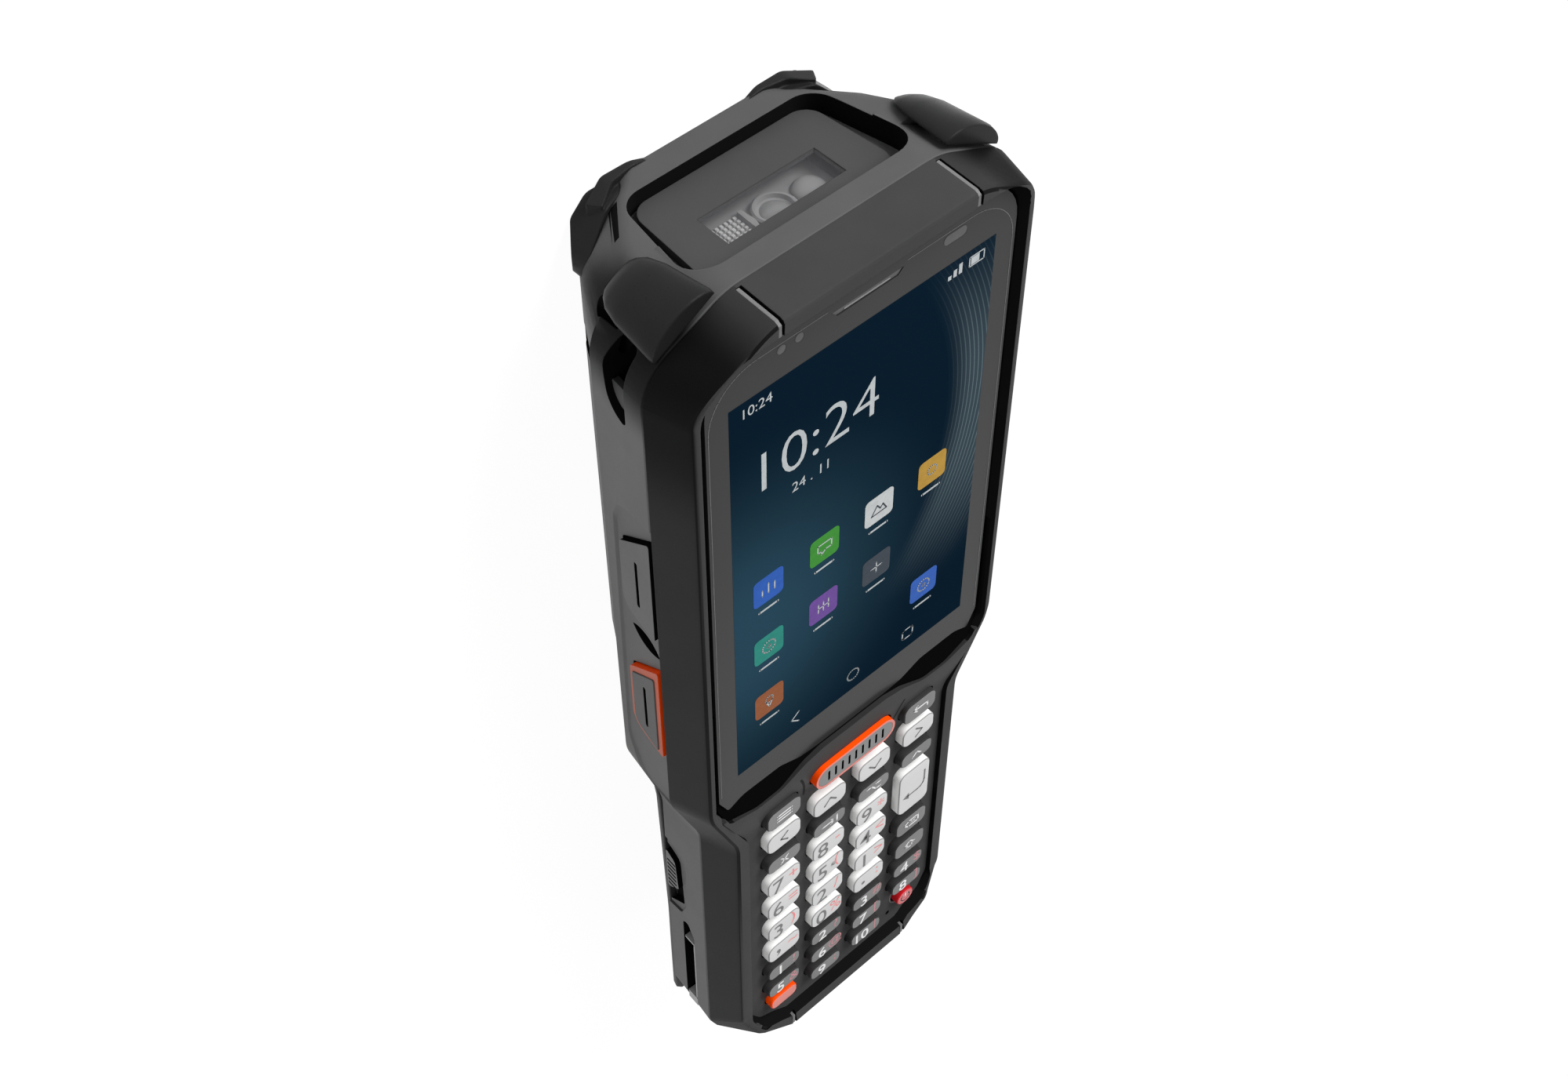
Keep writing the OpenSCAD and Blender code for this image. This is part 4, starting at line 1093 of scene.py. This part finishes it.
def screen_material():
    """Night-blue picture: a soft glow low on the left, and a pale fan of fine arcs that widens rightwards."""
    low, high = colour_of("screen_low"), colour_of("screen_high")
    material, tree, shader = principled("screen_picture", low, 0.25, Specular_IOR_Level=0.0)
    glow = ranged(tree, distance_from(tree, *GLOW_PLACE), *GLOW_REACH)
    tint = ramp(tree, glow, ((0.0, low), (0.5, shaded(high, 0.55)), (1.0, high)))
    far = distance_from(tree, *FAN_PLACE)
    fan = product(tree, ranged(tree, far, *FAN_INNER), ranged(tree, far, *FAN_OUTER))
    waves = combined(tree, "SINE", product(tree, far, 2 * math.pi / (ARC_STEP * MM)))
    line = ranged(tree, waves, 0.6, 1.0, 0.35, 1.0)
    bright = ranged(tree, distance_from(tree, *BRIGHT_PLACE), *BRIGHT_REACH)
    strength = product(tree, fan, line, bright, 0.5)
    tree.links.new(mixed(tree, strength, tint, FAN_COLOUR), shader.inputs["Base Color"])
    return material


APP_COLOURS = {
    "green": (0.03, 0.22, 0.02), "blue": (0.015, 0.085, 0.38), "amber": (0.40, 0.23, 0.03),
    "white": (0.48, 0.50, 0.50), "violet": (0.12, 0.05, 0.26), "teal": (0.01, 0.20, 0.16),
    "slate": (0.03, 0.04, 0.055), "rust": (0.24, 0.07, 0.02),
}

# Tiles of the start screen: column, row, colour and the sign drawn on it
APP_TILES = (
    (0, 2, "blue", "bars"), (1, 2, "green", "bubble"), (2, 2, "white", "peaks"), (3, 2, "amber", "sun"),
    (0, 1, "teal", "ring"), (1, 1, "violet", "grid"), (2, 1, "slate", "cross"),
    (0, 0, "rust", "pin"), (3, 0, "blue", "ring"),
)
TILE_SIGNS = {
    "sun": [circle(1.1, 16)],
    "bars": [[(-1.4, -1.2), (-1.4, 0.2)], [(0, -1.2), (0, 1.3)], [(1.4, -1.2), (1.4, 0.7)]],
    "ring": [circle(1.5, 18), circle(0.4, 8)],
    "peaks": [[(-1.8, -1.2), (-0.5, 0.9), (0.3, -0.3), (0.9, 0.5), (1.8, -1.2), (-1.8, -1.2)]],
    "bubble": [[(-1.6, 1.2), (1.6, 1.2), (1.6, -0.6), (0.2, -0.6), (-0.7, -1.5), (-0.7, -0.6), (-1.6, -0.6),
                (-1.6, 1.2)]],
    "grid": [[(x, -1.2), (x, 1.2)] for x in (-1.2, 0, 1.2)] + [[(-1.2, 0), (1.2, 0)]],
    "cross": [[(-1.3, 0), (1.3, 0)], [(0, -1.3), (0, 1.3)]],
    "pin": [circle(0.9, 14, 0, 0.5), [(-0.7, -0.1), (0, -1.6), (0.7, -0.1)]],
}
TILE_SIZE, TILE_STEP_X, TILE_STEP_Y = 6.1, 11.6, 14.4
FIRST_TILE_X, FIRST_TILE_Y = -18.9, 14.4
# Heights over the glass of the picture, of what is drawn on it and of the marks on the glass
PICTURE_LIFT, SIGN_LIFT, MARK_LIFT = 0.02, 0.05, 0.03
BUTTON_X, BUTTON_Y = 12.8, 4.0
SENSOR_RADIUS, SENSOR_PLACES = 0.78, ((-16.2, 91.75), (-12.9, 91.8))
INDICATOR_X, INDICATOR_Y = 17.1, 91.5
# How far the shade of a window's edge lies beside and under the window
SHADE_SHIFT, SHADE_DEPTH = 0.1, 0.01


class TERMINAL_OT_display(bpy.types.Operator):
    """Make the cover glass, the lit picture and what shows on it"""
    bl_idname = "terminal.display"
    bl_label = "Make display"

    def execute(self, context):
        finish_node("display_glass", glassy("cover_glass_print", grey(0.028), 0.22, Specular_IOR_Level=0.10))
        picture_material = screen_material()
        finish_node("display_panel", picture_material)
        half, length = sizes().screen_width / MM / 2, sizes().screen_length / MM
        picture = bmesh.new()
        add_flat(picture, [(-half, 0), (half, 0), (half, length), (-half, length)])
        lay_print("screen_picture", picture, [picture_material], PICTURE_LIFT)
        pale = printed("screen_white", (0.42, 0.45, 0.46), 0.3)
        self.clock(pale)
        self.buttons(pale)
        self.tiles(pale)
        self.edge_line()
        self.windows()
        self.earpiece()
        return {"FINISHED"}

    def clock(self, pale):
        """Hour, date in numbers and status signs."""
        clock = bmesh.new()
        add_text(clock, "10:24", 8.2, -8.5, 69.8, weight=-0.11)
        add_text(clock, "24 . 11", 2.0, -10.5, 62.0)
        add_text(clock, "10:24", 1.9, -20.6, 84.1)
        for bar in range(3):
            x = 16.2 + bar * 1.1
            top = 84.0 + bar * 0.6
            add_flat(clock, [(x, 83.2), (x + 0.7, 83.2), (x + 0.7, top), (x, top)])
        add_stroke(clock, [(20.6, 83.2), (23.6, 83.2), (23.6, 85), (20.6, 85)], 0.22, closed=True)
        add_flat(clock, [(20.9, 83.4), (22.6, 83.4), (22.6, 84.8), (20.9, 84.8)])
        lay_print("screen_clock", clock, [pale], SIGN_LIFT)

    def buttons(self, pale):
        """The three navigation signs."""
        bar = bmesh.new()
        add_stroke(bar, [(-12.4, 5.3), (-14.0, 4.0), (-12.4, 2.7)], 0.28)
        add_stroke(bar, circle(1.3, 20, 0, BUTTON_Y), 0.28, closed=True)
        # The square is drawn about the origin and moved to its place
        add_stroke(bar, rounded_rectangle(2.4, 2.4, 0.5, 4), 0.28, closed=True)
        for vertex in [v for v in bar.verts if abs(v.co.y) < 1.5]:
            vertex.co += Vector((BUTTON_X, BUTTON_Y, 0))
        lay_print("screen_buttons", bar, [pale], SIGN_LIFT)

    def tiles(self, pale):
        """The tiles of the start screen, each with its sign and a line under it."""
        tiles = bmesh.new()
        names = sorted(APP_COLOURS)
        inks = [printed("tile_" + name, APP_COLOURS[name], 0.3) for name in names] + [pale]
        white = len(names)
        for column, row, colour, sign in APP_TILES:
            x, y = FIRST_TILE_X + column * TILE_STEP_X, FIRST_TILE_Y + row * TILE_STEP_Y
            outline = rounded_rectangle(TILE_SIZE, TILE_SIZE, 0.9, 5)
            add_flat(tiles, [(x + px, y + py) for px, py in outline], 0.0, names.index(colour))
            ink = names.index("slate") if colour == "white" else white
            for stroke in TILE_SIGNS[sign]:
                add_stroke(tiles, [(x + px * 0.9, y + py * 0.9) for px, py in stroke], 0.26, 0.02, ink)
            add_stroke(tiles, [(x - 1.9, y - 4.7), (x + 1.9, y - 4.7)], 0.45, 0.0, white)
        lay_print("screen_tiles", tiles, inks, SIGN_LIFT)

    def edge_line(self):
        """A fine pale line painted near the glass's edge as the highlight of its rim, broken at the earpiece.
        """
        line = printed("glass_line", grey(0.16), 0.4)
        edge = bmesh.new()
        half, top, radius, gap = 29.55, 92.9, 9.0, 7.6
        left = [(-half, y) for y in (-3.0, 20.0, 45.0, 70.0)]
        left += arc(radius, 180, 90, 14, radius - half, top - radius) + [(-gap, top)]
        for side in (left, [(-x, y) for x, y in left]):
            add_stroke(edge, side, 0.11)
        lay_print("glass_edge_line", edge, [line], MARK_LIFT)

    def windows(self):
        """The two sensors and the indicator in the glass, each on the shade of its edge."""
        pane, shade = printed("sensor_window", grey(0.10), 0.3), printed("sensor_shade", grey(0.008), 0.4)
        windows = bmesh.new()
        shapes = [circle(SENSOR_RADIUS, 28, x, y) for x, y in SENSOR_PLACES]
        shapes.append([(x + INDICATOR_X, y + INDICATOR_Y) for x, y in rounded_rectangle(4.6, 1.8, 0.88, 6)])
        for points in shapes:
            add_flat(windows, [(x + SHADE_SHIFT, y - SHADE_SHIFT) for x, y in points], 0.0, 1)
            add_flat(windows, points, SHADE_DEPTH, 0)
        lay_print("glass_windows", windows, [pane, shade], MARK_LIFT)

    def earpiece(self):
        """The mesh in the glass's slot and the bright lip on it."""
        mesh_grey = moulded("earpiece_mesh", grey(0.10), 0.5, edge=0.05)
        bright = moulded("earpiece_lip", grey(0.24), 0.4, edge=0.05)
        ear = bmesh.new()
        slot = [(-6.6, 91.15), (-5.7, 91.12), (5.7, 91.12), (6.6, 91.15), (6.9, 92.05), (-6.9, 92.05)]
        add_prism(ear, slot, -0.39, -0.2)
        add_prism(ear, [(-4.4, 91.3), (4.4, 91.3), (4.4, 91.5), (-4.4, 91.5)], -0.3, -0.1, 1)
        make_piece("earpiece_grille", ear, [mesh_grey, bright], upright(), "housing")


# ---------- scanner ----------

WINDOW_Z = -19.3
ENGINE_X, ENGINE_Z, ENGINE_BACK, ENGINE_FRONT = 12.0, 6.0, 74.0, 93.0
# Turned parts of the optics: place, profile of radius and height, and finish
OPTICS = (
    (0.6, WINDOW_Z, ((3.6, -0.2), (3.6, 0.9), (3.3, 1.2), (2.9, 1.2), (2.7, 0.5), (2.3, 0.4)), 0),
    (0.6, WINDOW_Z, ((2.35, 0.0), (2.3, 0.45), (1.9, 0.75), (1.2, 0.95), (0.5, 1.02)), 2),
    (7.4, WINDOW_Z - 0.2, ((2.9, -0.2), (2.8, 0.3), (2.3, 0.9), (1.5, 1.15), (0.7, 1.25)), 0),
)
# Section of the low ridge between the lamps and the lens
RIDGE = ((-3.9, -22.4), (-3.2, -22.4), (-3.0, -19.5), (-3.6, -17.2), (-4.1, -17.2))
LAMP_SIZE, LAMP_STEP = 0.58, 0.84
FIRST_LAMP = Vector((-10.4, ENGINE_FRONT, -22.2))


class TERMINAL_OT_scanner(bpy.types.Operator):
    """Make the scanner's panel, its window and the optics behind it"""
    bl_idname = "terminal.scanner"
    bl_label = "Make scanner"

    def execute(self, context):
        finish_node("scan_bezel", moulded("bezel_plastic", grey(0.042), 0.55, grain=0.05))
        window = glassy("scan_window_glass", (0.20, 0.20, 0.21), 0.12, Alpha=0.12, Specular_IOR_Level=0.12)
        finish_node("scan_window", window)
        self.optics()
        self.lamps()
        return {"FINISHED"}

    def optics(self):
        """The engine's block with its lens, second lens and ridge, which look out of the scanning end."""
        housing = moulded("engine_plastic", grey(0.20), 0.5, edge=0.1)
        dark = moulded("engine_dark", grey(0.07), 0.5, edge=0.1)
        lens = glassy("lens_glass", grey(0.16), 0.15)
        body = bmesh.new()
        rings = []
        for inset, y in ((0.0, ENGINE_BACK), (0.0, ENGINE_FRONT - 0.3), (0.3, ENGINE_FRONT)):
            scale_x, scale_z = (ENGINE_X - inset) / ENGINE_X, (ENGINE_Z - inset) / ENGINE_Z
            outline = rounded_rectangle(2 * ENGINE_X, 2 * ENGINE_Z, 0.6, 3)
            rings.append([(x * scale_x, y, WINDOW_Z + z * scale_z) for x, z in outline])
        add_rings(body, rings)
        for x, z, profile, slot in OPTICS:
            add_turned(body, profile, 36, x, z, lambda px, pz, h: (px, ENGINE_FRONT + h, pz), slot)
        add_rings(body, [[(x, y, z) for x, z in RIDGE] for y in (ENGINE_FRONT - 0.1, ENGINE_FRONT + 1.0)])
        piece = make_piece(
            "scan_optics", body, [housing, dark, lens], upright(), "housing", degrees=40)
        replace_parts(piece, "scan_engine")

    def lamps(self):
        """The grid of small square lamps beside the lens."""
        glow = moulded("lamp_resin", grey(0.42), 0.3, edge=0.05)
        cell = bmesh.new()
        outline = rounded_rectangle(LAMP_SIZE, LAMP_SIZE, 0.1, 2)
        layers = ((0.0, 1.0), (0.25, 1.0), (0.35, 0.8))
        add_rings(cell, [[(x * scale, y, z * scale) for x, z in outline] for y, scale in layers])
        grid = repeat(cell, {
            "Columns": sizes().lamp_columns, "Rows": sizes().lamp_rows,
            "Column step": (LAMP_STEP, 0, 0), "Row step": (0, 0, LAMP_STEP), "Material": glow,
        })
        for vertex in grid.verts:
            vertex.co += FIRST_LAMP
        make_piece("scan_lamps", grid, [glow], upright(), "housing")


# ---------- back ----------

CAMERA_FACE_Z = -35.95
# Turned parts of the camera window: place across, profile of radius and height, and finish
CAMERA_PARTS = (
    (0.0, ((4.9, 0.6), (4.9, 0.12), (4.75, 0.0), (4.1, 0.0), (3.95, 0.15)), 0),
    (0.0, ((4.0, 0.3), (3.95, 0.14), (3.6, 0.1)), 1),
    (-0.9, ((1.7, 0.2), (1.65, 0.06), (1.2, 0.0), (0.6, 0.02)), 1),
    (2.1, ((0.8, 0.2), (0.78, 0.08), (0.5, 0.05)), 2),
)


class TERMINAL_OT_back(bpy.types.Operator):
    """Make the camera window in the back and finish the screws"""
    bl_idname = "terminal.back"
    bl_label = "Make back"

    def execute(self, context):
        finish_node("screws", moulded("screw_metal", (0.5, 0.5, 0.52), 0.35, sheen=0.5, Metallic=1.0))
        ring = moulded("camera_ring_plastic", grey(0.06), 0.35, sheen=0.4, edge=0.1)
        glass = glassy("camera_glass", (0.008, 0.008, 0.010), 0.06)
        lamp = moulded("camera_lamp", (0.75, 0.72, 0.60), 0.3, sheen=0.4, edge=0.05)
        back = bmesh.new()
        for x, profile, slot in CAMERA_PARTS:
            add_turned(
                back, profile, 40, x, CAMERA_WINDOW_Y, lambda px, py, h: (px, py, CAMERA_FACE_Z + h), slot)
        make_piece("camera_window", back, [ring, glass, lamp], upright(), "housing")
        return {"FINISHED"}


# ---------- stage ----------

CAMERA_PLACE = (-0.15965, 0.302245, 0.19066)
CAMERA_RIGHT = (0.732, 0.0, 0.681)
CAMERA_UP = (0.522, 0.642, -0.562)
FOCAL_PIXELS, PICTURE_PIXELS = 2853.6, 2000
SENSOR_WIDTH = 36
WORLD_LEVEL, FLOOR_LEVEL = 0.30, 1.06
FLOOR_SIZE, FLOOR_Z = 16, -0.0002
# Radii between which the floor goes over to plain white, and the share of white near the terminal
FLOOR_NEAR, FLOOR_FAR, NEAR_WHITE = 0.10, 0.45, 0.90
# Name, place, what it points at, size and power
LAMPS = (
    ("side_lamp", (-1.20, -0.15, 0.45), (0, 0, 0.02), 0.6, 4.4),
    ("end_lamp", (0.50, 1.02, 0.62), (0, 0.02, 0.02), 0.7, 23.0),
    ("top_lamp", (0.35, -0.15, 1.25), (0, 0, 0.03), 0.9, 1.5),
)


def add_lamp(name, place, target, size, power):
    """An area lamp that points at a place."""
    data = bpy.data.lights.new(name, "AREA")
    data.size = size
    data.energy = power
    lamp = new_object(name, data)
    lamp.location = place
    lamp.rotation_euler = (Vector(target) - Vector(place)).to_track_quat("-Z", "Y").to_euler()


def seen_directly(tree):
    """1 for the rays of the camera, of reflections and of glass, which see the white surroundings."""
    path = add_node(tree, "ShaderNodeLightPath").outputs
    total = path["Is Camera Ray"]
    for name in ("Is Glossy Ray", "Is Transmission Ray"):
        total = combined(tree, "MAXIMUM", total, path[name])
    return total


class TERMINAL_OT_stage(bpy.types.Operator):
    """Set the floor, the lamps and the camera"""
    bl_idname = "terminal.stage"
    bl_label = "Set stage"

    def execute(self, context):
        bpy.context.scene.view_settings.view_transform = "Standard"
        self.surroundings()
        self.floor()
        for lamp in LAMPS:
            add_lamp(*lamp)
        self.camera()
        return {"FINISHED"}

    def surroundings(self):
        """Soft light from all round, behind which the camera sees white."""
        world = bpy.data.worlds.new("studio")
        world.use_nodes = True
        bpy.context.scene.world = world
        tree = world.node_tree
        sky = tree.nodes["Background"]
        sky.inputs["Color"].default_value = (1, 1, 1, 1)
        sky.inputs["Strength"].default_value = WORLD_LEVEL
        white = add_node(tree, "ShaderNodeBackground", {"Color": (1, 1, 1, 1), "Strength": 1.0})
        inputs = {"Fac": seen_directly(tree), 1: sky.outputs["Background"], 2: white.outputs["Background"]}
        both = add_node(tree, "ShaderNodeMixShader", inputs).outputs["Shader"]
        tree.links.new(both, tree.nodes["World Output"].inputs["Surface"])

    def floor(self):
        """White paper that shades near the terminal and is plain white further off."""
        bpy.ops.mesh.primitive_plane_add(size=FLOOR_SIZE, location=(0, 0, FLOOR_Z))
        floor = bpy.context.active_object
        floor.name = "floor"
        material, tree, shader = principled("floor_paper", grey(0.86), 0.9)
        glow = add_node(tree, "ShaderNodeEmission", {"Strength": FLOOR_LEVEL})
        place = add_node(tree, "ShaderNodeTexCoord").outputs["Object"]
        away = add_node(tree, "ShaderNodeVectorMath", {0: place}, operation="LENGTH").outputs["Value"]
        share = product(tree, seen_directly(tree), ranged(tree, away, FLOOR_NEAR, FLOOR_FAR, NEAR_WHITE, 1.0))
        inputs = {"Fac": share, 1: shader.outputs["BSDF"], 2: glow.outputs["Emission"]}
        blend = add_node(tree, "ShaderNodeMixShader", inputs).outputs["Shader"]
        tree.links.new(blend, tree.nodes["Material Output"].inputs["Surface"])
        floor.data.materials.append(material)

    def camera(self):
        """The camera, from the scanning end's left and above."""
        data = bpy.data.cameras.new("camera")
        data.sensor_width = SENSOR_WIDTH
        data.lens = FOCAL_PIXELS / PICTURE_PIXELS * data.sensor_width
        camera = new_object("camera", data)
        right, up = Vector(CAMERA_RIGHT).normalized(), Vector(CAMERA_UP).normalized()
        turn = Matrix((right, up, right.cross(up))).transposed()
        camera.matrix_world = Matrix.Translation(CAMERA_PLACE) @ turn.to_4x4()
        bpy.context.scene.camera = camera


class VIEW3D_PT_terminal(bpy.types.Panel):
    bl_label = "Data terminal"
    bl_idname = "VIEW3D_PT_terminal"
    bl_space_type = "VIEW_3D"
    bl_region_type = "UI"
    bl_category = "Terminal"

    def draw(self, context):
        for group in (context.scene.terminal_sizes, context.scene.terminal_finishes):
            for name in group.__annotations__:
                self.layout.prop(group, name)
        for step in STEPS:
            self.layout.operator(step.bl_idname)


STEPS = (
    TERMINAL_OT_shells, TERMINAL_OT_inner, TERMINAL_OT_bumpers, TERMINAL_OT_controls, TERMINAL_OT_battery,
    TERMINAL_OT_slots, TERMINAL_OT_keys, TERMINAL_OT_legends, TERMINAL_OT_scan_key, TERMINAL_OT_display,
    TERMINAL_OT_scanner, TERMINAL_OT_back, TERMINAL_OT_stage,
)
CLASSES = (TERMINAL_PG_finishes, TERMINAL_PG_sizes, *STEPS, VIEW3D_PT_terminal)


def register():
    for item in CLASSES:
        bpy.utils.register_class(item)
    bpy.types.Scene.terminal_finishes = PointerProperty(type=TERMINAL_PG_finishes)
    bpy.types.Scene.terminal_sizes = PointerProperty(type=TERMINAL_PG_sizes)


def unregister():
    del bpy.types.Scene.terminal_sizes
    del bpy.types.Scene.terminal_finishes
    for item in reversed(CLASSES):
        bpy.utils.unregister_class(item)


def main():
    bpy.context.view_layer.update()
    register()
    for step in STEPS:
        area, name = step.bl_idname.split(".")
        getattr(getattr(bpy.ops, area), name)()
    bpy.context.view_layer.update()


if __name__ == "__main__":
    main()
